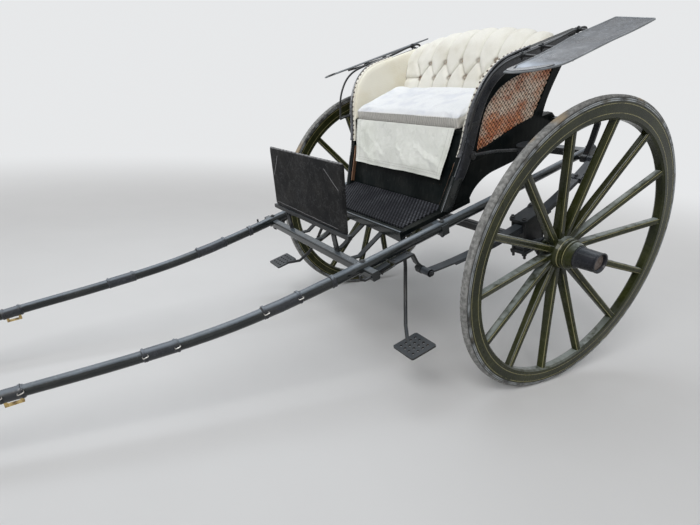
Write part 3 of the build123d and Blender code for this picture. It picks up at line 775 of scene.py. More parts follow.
def inflated(obj, voxel, pressure, cap):
    """Stuffs a closed mesh: it swells as cloth under pressure, by no more than the cap."""
    bpy.context.view_layer.objects.active = obj
    remesh = obj.modifiers.new("remesh", "REMESH")
    remesh.mode = "VOXEL"
    remesh.voxel_size = voxel
    remesh.use_smooth_shade = True
    with bpy.context.temp_override(object=obj, active_object=obj, selected_objects=[obj]):
        bpy.ops.object.modifier_apply(modifier="remesh")
    start = np.array([v.co for v in obj.data.vertices])
    cloth = obj.modifiers.new("cloth", "CLOTH")
    cloth.settings.quality = 5
    cloth.settings.use_pressure = True
    cloth.settings.uniform_pressure_force = pressure
    cloth.settings.effector_weights.gravity = 0
    cloth.settings.tension_stiffness = 12
    cloth.settings.bending_stiffness = 2
    cloth.point_cache.frame_start = 1
    cloth.point_cache.frame_end = SWELL_FRAMES
    for step in range(1, SWELL_FRAMES + 1):
        bpy.context.scene.frame_set(step)
    moved = obj.evaluated_get(bpy.context.evaluated_depsgraph_get()).to_mesh()
    end = np.array([v.co for v in moved.vertices])
    obj.evaluated_get(bpy.context.evaluated_depsgraph_get()).to_mesh_clear()
    obj.modifiers.remove(cloth)
    bpy.context.scene.frame_set(1)
    way = end - start
    far = np.linalg.norm(way, axis=1, keepdims=True)
    way *= np.minimum(1, cap / np.maximum(far, 1e-9))
    obj.data.vertices.foreach_set("co", (start + way).ravel())
    obj.data.update()


def to_level(obj):
    """The points of an object, in level millimetres."""
    level = parked.inverted()
    return np.array([level @ v.co for v in obj.data.vertices]) * 1000


def from_level(obj, points):
    """Moves an object's points to these places, given in level millimetres."""
    places = np.array([parked @ Vector(p / 1000) for p in points])
    obj.data.vertices.foreach_set("co", places.ravel())
    obj.data.update()


# The boxed border is painted greyer than the white top, as painted shade, and its cloth is
# gathered in fine upright ribs, painted darker in their dips.
cushion_look = canvas("cushion_canvas", (0.77, 0.785, 0.80), (0.68, 0.70, 0.725))
x, y, z = cushion_look.axes(cushion_look.level)
border = cushion_look.between(z, 0.611, 0.604)
jog = cushion_look.times(cushion_look.grain(16, 4), 0.034)
ribs = cushion_look.wave(cushion_look.plus(x, jog), 0.0135)
ridge = cushion_look.between(ribs, -0.9, 0.9)
grey = cushion_look.mix(ridge, (0.50, 0.485, 0.45), (0.62, 0.60, 0.56))
plain = cushion_look.colour()
# Painted shade: soft lavender-grey patches, scattered at random over the top, stand in for the shade of its
# hollows.
hollow_shade = cushion_look.spots(0.47, 0.68, 9.5, 2, (1, 1.4, 1))
plain = cushion_look.mix(cushion_look.times(hollow_shade, 0.7), plain, (0.60, 0.62, 0.675))
cushion_look.set(Base_Color=cushion_look.mix(border, plain, grey))
cushion_look.bump(cushion_look.times(ribs, border), 0.0025, 0.5)
block = inset_block(CUSHION_LINE, CUSHION_HALF, 60)
cushion = piece("seat_cushion_canvas", [block], cushion_look)
inflated(cushion, VOXEL, PRESSURE, SWELL)
points = to_level(cushion)
side = inner_face(560) - 1.0
for p in points:
    p[0] = min(max(p[0], -side), side)
    p[2] = max(p[2], BOARD_TOP)
    top = ease((p[2] - 600) / 12)
    # Faint tufts in rows across the top, and soft hollows where the riders sit.
    tuft = 0.0
    for row, y in enumerate(TUFT_ROWS):
        for x in np.arange(-280, 281, TUFT_GAP):
            d = math.hypot(p[0] - x - 35 * (row % 2), p[1] - y)
            tuft += math.exp(-(d / 26) ** 2)
    p[2] -= top * (TUFT_DEPTH * tuft + HOLLOW * math.exp(-((abs(p[0]) - 170) / 120) ** 2))
    p[2] += top * 1.2 * noise.noise(Vector((p[0] / 60, p[1] / 60, 3)))
from_level(cushion, points)
smoother = cushion.modifiers.new("smoother", "SUBSURF")
smoother.levels = smoother.render_levels = 1
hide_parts("seat_cushion")

# Arm pads: thin stuffed linings inside each side, their cloth turned over the pillar's front
# edge under a strip of trim held by close nails.
PAD_LINING = 24.2  # from the side's outer face to the pad's back
arm_front = smooth_line([(0, -221, 562), (0, -206, 607), (0, -182, 665), (0, -141, 725),
                         (0, -85, 763), (0, -24, 778)])
arm_outline = [(y, z) for _, y, z in arm_front]
arm_outline += [(60, 779), (150, 779), (250, 778), (272, 772), (226, 690), (196, 620), (168, 562)]
arm_outline += [(120, 561), (40, 561), (-60, 561), (-150, 561)]


def inside_face(y, z, out):
    """A point of the left side's lining: how far it stands in from the panel."""
    return inner_face(z, PAD_LINING + out), y, z


def pad_on_side(outline, thick, soft, rings):
    """A low pillow on the side panel, this thick, and rounded over its soft edge."""
    outline = np.array(outline, float)
    middle = outline.mean(axis=0)
    points = []
    count = len(outline)
    for i in range(rings + 1):
        share = (i / rings) ** 1.4
        for p in outline:
            q = p + (middle - p) * share * 0.985
            edge = min(to_segment(q, outline[j - 1], outline[j]) for j in range(count))
            t = min(edge / soft, 1.0)
            out = thick * math.sqrt(1 - (1 - t) ** 2) * 0.94 + 1.0
            out += 0.8 * noise.noise(Vector((q[0] / 45, q[1] / 45, 7))) * t
            points.append(inside_face(*q, out))
    faces = quads(rings + 1, count)
    faces.append(tuple(range(rings * count, (rings + 1) * count)))
    base = len(points)
    points += [inside_face(*q, 0.0) for q in outline]
    for k in range(count):
        n = (k + 1) % count
        faces.append((n, k, base + k, base + n))
    faces.append(tuple(reversed(range(base, base + count))))
    return points, faces


warm_look = canvas("warm_canvas", (0.85, 0.82, 0.71), (0.76, 0.70, 0.54))
pillow = pad_on_side(arm_outline, thick=13.0, soft=26, rings=14)
pads = piece("arm_pad_canvas", [pillow], warm_look, mirror=True)
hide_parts("arm_pads")

# Apron: a sheet of pale green canvas that hangs from the seat board's front edge over the riser.
# Its foot and ends are hemmed with two rows of stitches, and use has set its folds and creases.
APRON_TOP = (-224.5, 572)
APRON_DROP = 205.0
HALF_TOP, HALF_FOOT = 346, 312
CLOTH_THICK = 1.8
# Where each crease runs from and to, from -1 to 1 across and 0 to 0.62 down, and its height.
APRON_CREASES = [
    ((-0.85, 0.10), (-0.35, 0.45), 2.4),
    ((-0.50, 0.04), (0.05, 0.30), -2.2),
    ((-0.10, 0.20), (0.22, 0.52), 2.6),
    ((0.30, 0.05), (0.12, 0.36), 2.2),
    ((0.40, 0.30), (0.88, 0.46), 2.8),
    ((0.55, 0.12), (0.92, 0.22), -2.0),
    ((-0.90, 0.40), (-0.55, 0.55), 2.0),
]
# The front face hangs straight down as the carriage stands, and its folds stand ahead of it.
rows, wide = 40, 70
front = [[] for _ in range(rows + 1)]
down = Vector((0, -math.sin(lean), -math.cos(lean)))
ahead = Vector((0, -math.cos(lean), math.sin(lean)))
for i in range(rows + 1):
    v = i / rows
    half = HALF_TOP + (HALF_FOOT - HALF_TOP) * v
    for k in range(wide + 1):
        u = k / wide * 2 - 1
        fold = 5.0 * math.sin(u * 5.2 + 0.6) * ease(v * 1.5) + 3.0 * math.sin(u * 11 + 2) * v
        fold += 11.0 * noise.noise(Vector((u * 2.4, v * 2.0, 1)))
        fold += 3.6 * noise.noise(Vector((u * 7 + v * 2, v * 3 - u * 2, 5)))
        for a, b, high in APRON_CREASES:
            fold += 1.5 * high * math.exp(-(to_segment((u, v * 0.62), a, b) / 0.036) ** 2)
        fold = max(fold * (0.15 + 0.85 * v) + 5 * v, 0.0) + 0.6
        sag = APRON_DROP * v + 4.0 * noise.noise(Vector((u * 1.5, 0, 9))) * v
        front[i].append(Vector((u * half, *APRON_TOP)) + down * sag + ahead * fold)
points = [p for row in front for p in row]
points += [p - ahead * CLOTH_THICK for row in front for p in row]
count = wide + 1
shift = (rows + 1) * count
faces = []
for i in range(rows):
    for k in range(wide):
        a = i * count + k
        faces.append((a, a + count, a + count + 1, a + 1))
        faces.append((shift + a, shift + a + 1, shift + a + count + 1, shift + a + count))
rim = border_of(rows + 1, count)
for a, b in zip(rim, rim[1:] + rim[:1]):
    faces.append((a, b, shift + b, shift + a))
green_look = canvas("apron_canvas", (0.86, 0.875, 0.82), (0.70, 0.725, 0.65))
green_look.bump(green_look.grain(6, 5, (1, 1, 0.6), rough=0.6), 0.04, 0.7)
apron = piece("hanging_apron", [(points, faces)], green_look)


def sweep(line, ring, closed=False):
    """A ring of (across, up) points, or one ring per station, carried along a line of points."""
    line = [Vector(p) for p in line]
    count = len(line)
    rings = ring if isinstance(ring[0][0], (tuple, list)) else [ring] * count
    sides = len(rings[0])
    points = []
    up = None
    for i, spot in enumerate(line):
        if closed:
            along = line[(i + 1) % count] - line[i - 1]
        else:
            along = line[min(i + 1, count - 1)] - line[max(i - 1, 0)]
        along.normalize()
        if up is None:
            up = Vector((0, 0, 1)) if abs(along.z) < 0.9 else Vector((0, 1, 0))
        up = (up - along * up.dot(along)).normalized()
        across = along.cross(up)
        points += [spot + across * a + up * b for a, b in rings[i]]
    faces = quads(count, sides, closed=closed)
    if not closed:
        faces += ends(count, sides)
    return points, faces


def circle(radius, sides):
    steps = [2 * math.pi * k / sides for k in range(sides)]
    return [(radius * math.cos(a), radius * math.sin(a)) for a in steps]


def stitches(line, lift, length=3.2, gap=2.0, radius=0.45):
    """A run of short thread stitches that lie on a line of points."""
    line = [Vector(p) for p in line]
    parts = []
    walked = 0.0
    for a, b in zip(line, line[1:]):
        span = (b - a).length
        while walked < span:
            start = a + (b - a) * (walked / span)
            along = (b - a).normalized()
            end = start + along * length
            mid = (start + end) / 2 + lift * radius * 1.3
            parts.append(sweep([start, mid, end], circle(radius, 5)))
            walked += length + gap
        walked -= span
    return parts


# Two rows of stitches along the foot and up each end, counted in rows or columns from the edge.
hem = []
for inset in (3, 5):
    bottom = [front[rows - inset][k] + ahead * 0.3 for k in range(2, wide - 1)]
    hem += stitches(bottom, ahead)
for inset in (1, 3):
    for k in (inset, wide - inset):
        hem += stitches([front[i][k] + ahead * 0.3 for i in range(1, rows - 2)], ahead)
thread_look = canvas("cotton_thread", (0.40, 0.40, 0.36), (0.32, 0.31, 0.27), 0.0005)
sewn = piece("apron_stitching", hem, thread_look)
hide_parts("seat_apron")

# Trim: the lining's cloth is turned over the pillar's front edge and held by close bronze nails
# in a scalloped strip; outside it a stuffed bead of black leather covers the rest of the edge.
TRIM_STEP, SCALLOP = 7, 20
BRAID_DEPTH, BEAD_DEPTH = 17, 5  # in from the side's outer face
trim_line = smooth_line([(0, -252, 466), (0, -239, 495), (0, -222, 552), (0, -207, 610),
                         (0, -184, 668), (0, -143, 728), (0, -86, 766), (0, -24, 780),
                         (0, 90, 782)], TRIM_STEP)


def along_edge(depth, rings):
    """A strip up the pillar's edge, some way in from its outer face: (outward, off it) pairs."""
    spots = [Vector((inner_face(z, depth), y, z)) for _, y, z in trim_line]
    points = []
    for i, spot in enumerate(spots):
        way = spots[min(i + 1, len(spots) - 1)] - spots[max(i - 1, 0)]
        off = Vector((0, -way.z, way.y)).normalized()
        points += [spot + Vector((a, 0, 0)) + off * b for a, b in rings[i]]
    sides = len(rings[0])
    faces = quads(len(spots), sides)
    faces.append(tuple(range(sides)))
    faces.append(tuple(range((len(spots) - 1) * sides, len(spots) * sides)))
    return points, faces


strip, bead = [], []
for i, (_, y, z) in enumerate(trim_line):
    scallop = 1.8 * abs(math.sin(i * TRIM_STEP / SCALLOP * math.pi))
    strip.append([(-9, -8), (-10.2, -7), (-9.4, -0.5), (-6, 1.8), (0, 2.4), (6 + scallop, 1.8),
                  (6.5 + scallop, 0.2), (4, -1)])
    round_it = 4.5 + 4.5 * ease((740 - z) / 120)
    bead.append([(round_it * math.cos(a), round_it * 0.5 - 1 + round_it * math.sin(a))
                 for a in np.linspace(0, 2 * math.pi, 14, endpoint=False)])
piece("nailed_braid", [along_edge(BRAID_DEPTH, strip)], cream_look, mirror=True)
bead_look = leather("bead_leather", (0.010, 0.012, 0.017), (0.26, 0.29, 0.34),
                    creases=0.9, rough=0.2, coat=1.0, specular=0.7)
piece("edge_beads", [along_edge(BEAD_DEPTH, bead)], bead_look, mirror=True)
head = [(-1, 4.2), (0.5, 4.2), (2.0, 3.4), (3.0, 1.6), (3.3, 0.5)]
heads = []
for i in range(1, len(trim_line) - 1, 3):
    (_, y, z), before, after = trim_line[i], trim_line[i - 1], trim_line[i + 1]
    off = Vector((0, before[2] - after[2], after[1] - before[1])).normalized()
    spot = Vector((inner_face(z, BRAID_DEPTH), y, z)) + off * 2.2
    heads.append(lathe(head, spot, off, 12))
nail_look = Look("bronze_nails", Metallic=0.9)
dark = nail_look.spots(0.4, 0.65, 220, 4)
nail_look.set(Base_Color=nail_look.mix(dark, (0.10, 0.07, 0.045), (0.02, 0.016, 0.013)))
nail_look.set(Roughness=nail_look.blend(dark, 0.3, 0.6))
piece("braid_nails", heads, nail_look, mirror=True)

# Cane sides: strands of split and varnished cane in two slanting sets, woven over and under each
# other in front of a thin dark board.
cane_runs = [
    smooth_line([(0, -168, 458), (0, -165, 495), (0, -154, 554), (0, -136, 611), (0, -108, 649),
                 (0, -60, 680), (0, -10, 694), (0, 60, 700)], 10),
    [(0, 60, 700), (0, 257, 700)],
    smooth_line([(0, 257, 700), (0, 232, 652), (0, 152, 494)], 10),
    smooth_line([(0, 152, 494), (0, 40, 486), (0, -96, 464), (0, -168, 458)], 10),
]
window = [(p[1], p[2]) for run in cane_runs for p in run[:-1]]


def clipped(origin, direction, outline):
    """The stretches of a line in the plane that lie inside an outline."""
    hits = []
    for (ay, az), (by, bz) in zip(outline, outline[1:] + outline[:1]):
        ey, ez = by - ay, bz - az
        cross = direction[0] * ez - direction[1] * ey
        if abs(cross) < 1e-9:
            continue
        t = ((ay - origin[0]) * ez - (az - origin[1]) * ey) / cross
        s = ((ay - origin[0]) * direction[1] - (az - origin[1]) * direction[0]) / cross
        if 0 <= s < 1:
            hits.append(t)
    hits.sort()
    return list(zip(hits[::2], hits[1::2]))


PITCH = 13.0
STRAND = 3.3  # half a strand's width
RISE = 1.3
CANE_DEPTH = 6.5
flat = [(-0.7, STRAND), (0.3, STRAND), (0.9, 0), (0.3, -STRAND), (-0.7, -STRAND)]
# Each strand rides over one crossing and dips under the next, and the two sets take turns.
weave, over = [], []
for turn, other in ((math.radians(38), 1), (math.radians(-52), -1)):
    along = (math.cos(turn), math.sin(turn))
    across = (-along[1], along[0])
    for n in range(-60, 90):
        origin = (across[0] * PITCH * n, 400 + across[1] * PITCH * n)
        for t0, t1 in clipped(origin, along, window):
            line, heights = [], []
            for t in np.arange(t0, t1 + PITCH / 4, PITCH / 4):
                t = min(t, t1)
                y, z = origin[0] + along[0] * t, origin[1] + along[1] * t
                phase = t / PITCH * math.pi + n * math.pi
                rise = RISE * math.cos(phase) * other
                line.append((SIDE_FOOT + (z - SIDE_FOOT_Z) * FLARE - CANE_DEPTH + rise, y, z))
                heights += [rise] * len(flat)
            if len(line) > 3:
                over += heights
                weave.append(sweep(line, flat))
cane_look = Look("varnished_cane", Coat_Weight=0.6, Coat_Roughness=0.15)
tone = cane_look.spots(0.25, 0.75, 45, 5)
patch = cane_look.spots(0.40, 0.62, 11, 3)
fresh = cane_look.mix(patch, (0.95, 0.83, 0.70), (0.85, 0.36, 0.15))
aged = cane_look.mix(patch, (0.75, 0.52, 0.37), (0.45, 0.11, 0.035))
plain = cane_look.mix(tone, aged, fresh)
# A strand is dark where it dips under the other, and catches the light where it rides over.
height = cane_look.add("ShaderNodeAttribute", attribute_name="over").outputs["Fac"]
ride = cane_look.between(height, -1.2, 0.9)
shadow = cane_look.mix(patch, (0.20, 0.085, 0.045), (0.13, 0.022, 0.010))
cane_look.set(Base_Color=cane_look.mix(ride, shadow, plain))
cane_look.set(Roughness=cane_look.blend(tone, 0.32, 0.55))
cane_look.bump(cane_look.grain(700, 3, (1, 0.15, 0.15)), 0.0006, 0.5)
strands = piece("woven_cane", weave, cane_look, mirror=True)
dips = strands.data.attributes.new("over", "FLOAT", "POINT")
dips.data.foreach_set("value", np.array(over * 2, np.float32))
backing_look = gloss_paint("cane_backing", (0.006, 0.004, 0.003),
                           coat=0.0, worn=0.1, specular=0.1)
dress(backing_look, "cane_panels")

# Wings: hide laced over iron frames above the wheels, a little slack between the irons, with
# a rolled rim, a flap turned down at the front and worn creases.
WING_LEVEL = 801.5
HIDE_THICK, HIDE_SAG, RIM = 3.0, 3.0, 3.6  # the last is the rolled rim's radius
outer_line = smooth_line([(515, -214, 0), (541, -207, 0), (570, -189, 0), (594, -163, 0),
                          (614, -137, 0), (629, -105, 0), (636, -55, 0), (629, 50, 0),
                          (619, 178, 0), (615, 308, 0), (602, 438, 0)])
inner_line = smooth_line([(455, 434, 0), (458, 373, 0), (460, 286, 0), (466, 179, 0),
                          (488, 60, 0), (501, -49, 0), (506, -139, 0)])
wing_outline = [p[:2] for p in [*outer_line, *inner_line]]


def turned(part, matrix):
    """A part moved by a matrix, still in millimetres."""
    points, faces = part
    return [tuple(matrix @ Vector(p)) for p in points], faces


def flared(part):
    """A part drawn level, tipped outward with the left side about the side's foot."""
    foot = Matrix.Translation((SIDE_FOOT, 0, SIDE_FOOT_Z))
    return turned(part, foot @ Matrix.Rotation(FLARE_ANGLE, 4, "Y") @ foot.inverted())


def resampled(outline, step):
    """A closed outline walked in even steps."""
    outline = np.array(outline, float)
    ring = np.vstack([outline, outline[:1]])
    spans = np.linalg.norm(np.diff(ring, axis=0), axis=1)
    walk = np.concatenate([[0], np.cumsum(spans)])
    count = int(walk[-1] / step)
    spots = np.linspace(0, walk[-1], count, endpoint=False)
    return np.stack([np.interp(spots, walk, ring[:, k]) for k in (0, 1)], axis=1)


def slack_sheet(outline, level, rim, thick, sag, seed, rings=22):
    """A hide sheet inside a rim: flat, with a shallow hollow and soft waves, and its underside."""
    outline = resampled(outline, 9)
    middle = outline.mean(axis=0)
    count = len(outline)
    points, faces = [], []
    for side in (1, -1):
        start = len(points)
        for i in range(rings):
            share = i / (rings - 1)
            for p in outline:
                q = middle + (p - middle) * (1 - share * 0.99)
                low = sag * ease(share * 1.6)
                wave = noise.noise(Vector((q[0] / 90, q[1] / 140, seed))) * 4.0
                wave += noise.noise(Vector((q[0] / 34, q[1] / 50, seed + 5))) * 1.2
                points.append((*q, level - low + wave * ease(share * 3) + side * thick / 2))
        skin = quads(rings, count, start)
        skin.append(tuple(range(start + (rings - 1) * count, start + rings * count)))
        faces += skin if side > 0 else [tuple(reversed(face)) for face in skin]
    line = [(*p, level) for p in outline]
    return (points, faces), sweep(line, circle(rim, 12), closed=True)


wing_look = leather("wing_leather", (0.024, 0.029, 0.038), (0.20, 0.23, 0.27),
                    creases=0.9, rough=0.26)
# Painted reflection: a pale blue patch near the wings' front stands in for the sky's reflection.
y = wing_look.axes(wing_look.level)[1]
sky_highlight = wing_look.times(wing_look.between(y, -0.04, -0.15), wing_look.spots(0.3, 0.6, 14, 5), 0.8)
wing_look.set(Base_Color=wing_look.mix(sky_highlight, wing_look.colour(), (0.33, 0.39, 0.48)))
hide, rim = slack_sheet(wing_outline, WING_LEVEL, RIM, HIDE_THICK, HIDE_SAG, seed=2)
# The hide's front edge is folded back over the rim in a darker flap.
flap_line = smooth_line([(509, -150, 806.4), (520, -196, 806.6), (541, -190, 806.8),
                         (566, -172, 806.8), (589, -148, 806.8), (606, -124, 806.6),
                         (618, -100, 806.2)], 8)
last = len(flap_line) - 1
widths = [max(2.0, 13 * math.sin(math.pi * i / last) ** 0.5) for i in range(last + 1)]
flap = sweep(flap_line, [[(w, -2.6), (w, -0.6), (0, 0.6), (-w, 0.2), (-w, -2.6)] for w in widths])
wings = piece("hide_wings", [flared(hide)], wing_look, mirror=True)
piece("wing_flaps", [flared(flap)], leather_look, mirror=True)
# The rims are pale grey iron: partly worn paint, partly a painted highlight along the edge.
rim_highlight_look = iron_paint("worn_rim_highlight", (0.13, 0.14, 0.15), rust=0.3, rough=0.28)
piece("wing_rims", [flared(rim)], rim_highlight_look, mirror=True)
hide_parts("wings")


# Wing fittings: a clamp where each cross iron passes the rail, closed by a small bolt, and the
# flattened foot that holds the rail to the pillar.
def bolt(centre, along, size, height):
    """A round-headed bolt on a washer."""
    dome = [(-1, size * 1.5), (1.4, size * 1.5), (1.6, size)]
    dome += [(1.6 + height * math.sin(a), size * math.cos(a)) for a in (0.3, 0.7, 1.1, 1.4)]
    return lathe(dome, centre, along, 14)


def nut(centre, along, size, height):
    """A hexagon nut on a washer, with the bolt's end standing out of it."""
    washer = lathe([(-1, size * 1.35), (1.5, size * 1.35)], centre, along, 18)
    hexagon = lathe([(1.5, size * 0.93), (2.5, size), (height, size), (height + 1, size * 0.9)],
                    centre, along, 6)
    end = lathe([(height, size * 0.5), (height + 5, size * 0.5), (height + 6, size * 0.4)],
                centre, along, 12)
    return joined([washer, hexagon, end])


RAIL_X = SIDE_FOOT + 45
clamp_parts = []
for y, z in ((-8, 788.6), (95, 789.6), (286, 796.5)):
    clamp_parts.append(sweep([(RAIL_X, y - 9, z), (RAIL_X, y + 9, z)], circle(8.2, 18)))
    lug = [(RAIL_X + 13, y, z + 0.4), (RAIL_X - 13, y, z - 0.6)]
    clamp_parts.append(sweep(lug, circle(7.0, 14)))
    clamp_parts.append(bolt((RAIL_X, y, z + 7.5), (0, 0, 1), 4.2, 3.4))
    clamp_parts.append(nut((RAIL_X, y, z - 7.5), (0, 0, -1), 5.5, 5.0))
for y, z in ((-190, 590), (-180, 590), (312, 758)):
    clamp_parts.append(bolt((SIDE_FOOT + 12, y, z), (1, 0, 0), 4.6, 3.4))
foot_line = smooth_line([(RAIL_X, -262, 588), (RAIL_X - 6, -247, 590), (SIDE_FOOT + 20, -226, 590),
                         (SIDE_FOOT + 13.4, -205, 590), (SIDE_FOOT + 13, -172, 590)], 6)
clamp_parts.append(sweep(foot_line, [(1.6, -7), (1.6, 7), (-1.6, 7), (-1.6, -7)]))
piece("wing_clamps", [flared(part) for part in clamp_parts], iron_look, mirror=True)

# Dash: a board covered in black hide to keep off the mud, screwed to its rail and irons. The
# hide is rolled over the edge and worn pale along the top, with two bright scrapes across it.
dash_look = leather("dash_leather", (0.006, 0.0062, 0.007), (0.07, 0.07, 0.073),
                    creases=0.9, rough=0.42, coat=0.0, specular=0.06)
DASH_LEAN = math.radians(9.1)
DASH_FOOT = (-792, 338)
DASH_HALF, DASH_HIGH, CORNER = 330, 284, 14
HALF_THICK = 7.0


def on_dash(x, up, out):
    """A point of the dash: up it from its foot, and out in front of it."""
    y = DASH_FOOT[0] + up * math.sin(DASH_LEAN) - out * math.cos(DASH_LEAN)
    return x, y, DASH_FOOT[1] + up * math.cos(DASH_LEAN) + out * math.sin(DASH_LEAN)


def stroke(look, u, v, start, end, width):
    """1 along a thin straight stroke between two places of a plane, 0 off it."""
    way = Vector(end) - Vector(start)
    run = way.normalized()
    p = look.less(u, start[0])
    q = look.less(v, start[1])
    along = look.plus(look.times(p, run.x), look.times(q, run.y))
    off = look.less(look.times(p, run.y), look.times(q, run.x))
    drift = look.times(look.less(look.grain(30, 3), 0.5), width * 3)
    near = look.between(look.calc("ABSOLUTE", look.plus(off, drift)), width, width * 0.4)
    first = look.between(along, 0.0, 0.01)
    last = look.between(along, way.length, way.length - 0.01)
    return look.times(near, look.times(first, last))


outline = []
side, top = DASH_HALF - CORNER, DASH_HIGH - CORNER
for first, x, z in ((0, side, top), (90, -side, top), (180, -side, CORNER), (270, side, CORNER)):
    for a in (0, 22, 45, 68, 90):
        turn = math.radians(first + a)
        outline.append((x + CORNER * math.cos(turn), z + CORNER * math.sin(turn)))
outline = resampled(outline, 8)
# Both faces are drawn in rings from the rounded edge to the middle, with slight waves and one
# long crease.
points, faces = [], []
rings, count = 24, len(outline)
middle = np.array([0, DASH_HIGH / 2])
for side in (1, -1):
    start = len(points)
    for i in range(rings):
        share = i / (rings - 1)
        for p in outline:
            q = p + (middle - p) * share * 0.985
            edge = math.hypot(*(p - q))
            thick = HALF_THICK * math.sqrt(1 - (1 - min(edge / 9, 1)) ** 2)
            wave = noise.noise(Vector((q[0] / 80, q[1] / 60, 3 + side)))
            crease = math.exp(-((q[0] + 150 - (q[1] - 160) * 0.45) / 7) ** 2)
            crease *= ease((q[1] - 60) / 60)
            thick += (wave - 1.2 * crease) * min(edge / 30, 1)
            points.append(on_dash(*q, side * thick))
    skin = [(a, d, c, b) for a, b, c, d in quads(rings, count, start)]
    skin.append(tuple(reversed(range(start + (rings - 1) * count, start + rings * count))))
    faces += skin if side > 0 else [tuple(reversed(face)) for face in skin]
# Two bright scrapes, a long faint one near the foot, and the pale rubbed edge.
x, y, z = dash_look.axes(dash_look.level)
scrape = dash_look.most(stroke(dash_look, x, z, (0.180, 0.586), (0.290, 0.510), 0.0016),
                        stroke(dash_look, x, z, (-0.240, 0.589), (-0.304, 0.485), 0.0018),
                        stroke(dash_look, x, z, (-0.300, 0.360), (0.270, 0.352), 0.0012))
rub = dash_look.spots(0.3, 0.6, 60, 4)
edge = dash_look.times(dash_look.between(z, 0.6135, 0.6165), rub)
marks = dash_look.times(dash_look.most(scrape, edge), 0.75)
dash_look.set(Base_Color=dash_look.mix(marks, dash_look.colour(), (0.34, 0.34, 0.35)))
dash = piece("dash_hide", [(points, faces)], dash_look)
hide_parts("dash_board")

# Shaft leathers: black sleeves sewn round the shafts where the harness rubs, with a raised
# ring at each end, a seam of stitches and a bright staple.
SHAFT_LINE = np.array([  # a place along the left shaft, its middle's x and z, its radius
    (-2400, 328, 404, 18.8), (-2200, 348, 385, 20), (-2000, 366, 350, 21), (-1800, 380, 312, 21.6),
    (-1588, 393, 277, 22), (-1387, 402, 251, 22.5), (-1180, 409, 237.5, 22.9),
    (-960, 414.5, 232, 23), (-730, 418.5, 232, 22.8), (-480, 420, 232, 22.2),
    (-230, 420, 232, 21.3), (20, 420, 232, 20.2)])
# Where each sleeve starts and ends. The last is only a short ring.
SLEEVES = [(-2172, -2084), (-1716, -1580), (-1262, -1092), (-962, -938)]


def on_shaft(y):
    """The middle of the left shaft and its radius, at a place along the carriage."""
    return [float(np.interp(y, SHAFT_LINE[:, 0], SHAFT_LINE[:, k])) for k in (1, 2, 3)]


sleeve_parts, staple_parts, seam_parts = [], [], []
for first, last in SLEEVES:
    stations = np.linspace(first, last, max(6, int((last - first) / 6)))
    line, rings = [], []
    for y in stations:
        x, z, r = on_shaft(y)
        end = min(y - first, last - y)
        thick = 2.2 + 1.6 * math.exp(-((end - 5) / 3.5) ** 2)
        thick += 0.5 * noise.noise(Vector((y / 9, 0, 4)))
        line.append((x, y, z))
        rings.append(circle((r + thick) if end > 0.5 else r - 1, 28))
    sleeve_parts.append(sweep(line, rings))
    if last - first < 60:
        continue
    seam = []
    for y in stations[1:-1]:
        x, z, r = on_shaft(y)
        seam.append((x, y, z + r + 2.6))
    seam_parts += stitches(seam, Vector((0, 0, 1)), 4.0, 2.5, 0.5)
    # A strap holds each end, and a wire staple stands out of the strap.
    for y in (first + 12, last - 12):
        x, z, r = on_shaft(y)
        outer = r + 4.4
        hoop = [(x + outer * math.sin(a), y, z + outer * math.cos(a))
                for a in np.linspace(-2.2, 2.2, 26)]
        sleeve_parts.append(sweep(hoop, [(4, -1.2), (4, 1.2), (-4, 1.2), (-4, -1.2)]))
        near, far, high = x + r * 0.9, x + outer + 7, z + 9
        staple = [(near, y - 9, high), (far, y - 9, high), (far, y + 9, high), (near, y + 9, high)]
        staple_parts.append(sweep(smooth_line(staple, 3), circle(1.9, 8)))
sleeve_look = leather("shaft_leather", (0.008, 0.010, 0.014), (0.10, 0.11, 0.125),
                      creases=0.35, rough=0.28, coat=0.4, specular=0.3)
# Painted highlight: the sleeves' faces that look up are painted pale blue-grey.
sky_highlight = sleeve_look.times(sleeve_look.between(sleeve_look.upward(), 0.56, 0.88), 0.6)
sleeve_look.set(Base_Color=sleeve_look.mix(sky_highlight, sleeve_look.colour(), (0.22, 0.255, 0.30)))
piece("shaft_sleeves", sleeve_parts, sleeve_look, mirror=True)
bright_look = Look("bright_wire", Metallic=1.0)
tone = bright_look.spots(0.35, 0.7, 160, 3)
bright_look.set(Base_Color=bright_look.mix(tone, (0.72, 0.70, 0.66), (0.32, 0.30, 0.27)))
bright_look.set(Roughness=bright_look.blend(tone, 0.2, 0.45))
piece("shaft_staples", staple_parts, bright_look, mirror=True)
black_thread = canvas("waxed_thread", (0.055, 0.05, 0.045), (0.02, 0.02, 0.02), 0.0005)
piece("sleeve_stitching", seam_parts, black_thread, mirror=True)

# Wheel fittings: small round-headed bolts through the felloe clips beside the channel, and the
# cap's rivet. They are of the same black iron as the nave's band, and turn with the wheel.
BOLT_RING = 586
CHANNEL_FACE = HALF_TRACK * 1000 + 20.2
CAP_FACE = 830.2
bolt_head = [(-1, 3.6), (0.3, 3.6), (1.0, 2.6), (1.3, 1.0)]
rivet = [(-1, 7), (1.2, 7), (3.4, 5.5), (4.4, 3.0)]
for side, word in ((1, "left"), (-1, "right")):
    fittings = []
    for k in range(SPOKES):
        a = math.radians(SPOKE_START + (k + 0.5) * 360 / SPOKES)
        spot = (side * CHANNEL_FACE, BOLT_RING * math.cos(a), BOLT_RING * math.sin(a))
        fittings.append(lathe(bolt_head, spot, (side, 0, 0), 10))
    fittings.append(lathe(rivet, (side * CAP_FACE, 8, 5), (side, 0, 0), 18))
    fittings = [turned(part, Matrix.Rotation(-lean, 4, "X")) for part in fittings]
    piece("wheel_bolts_" + word, fittings, hub_look, body=word + "_wheel")

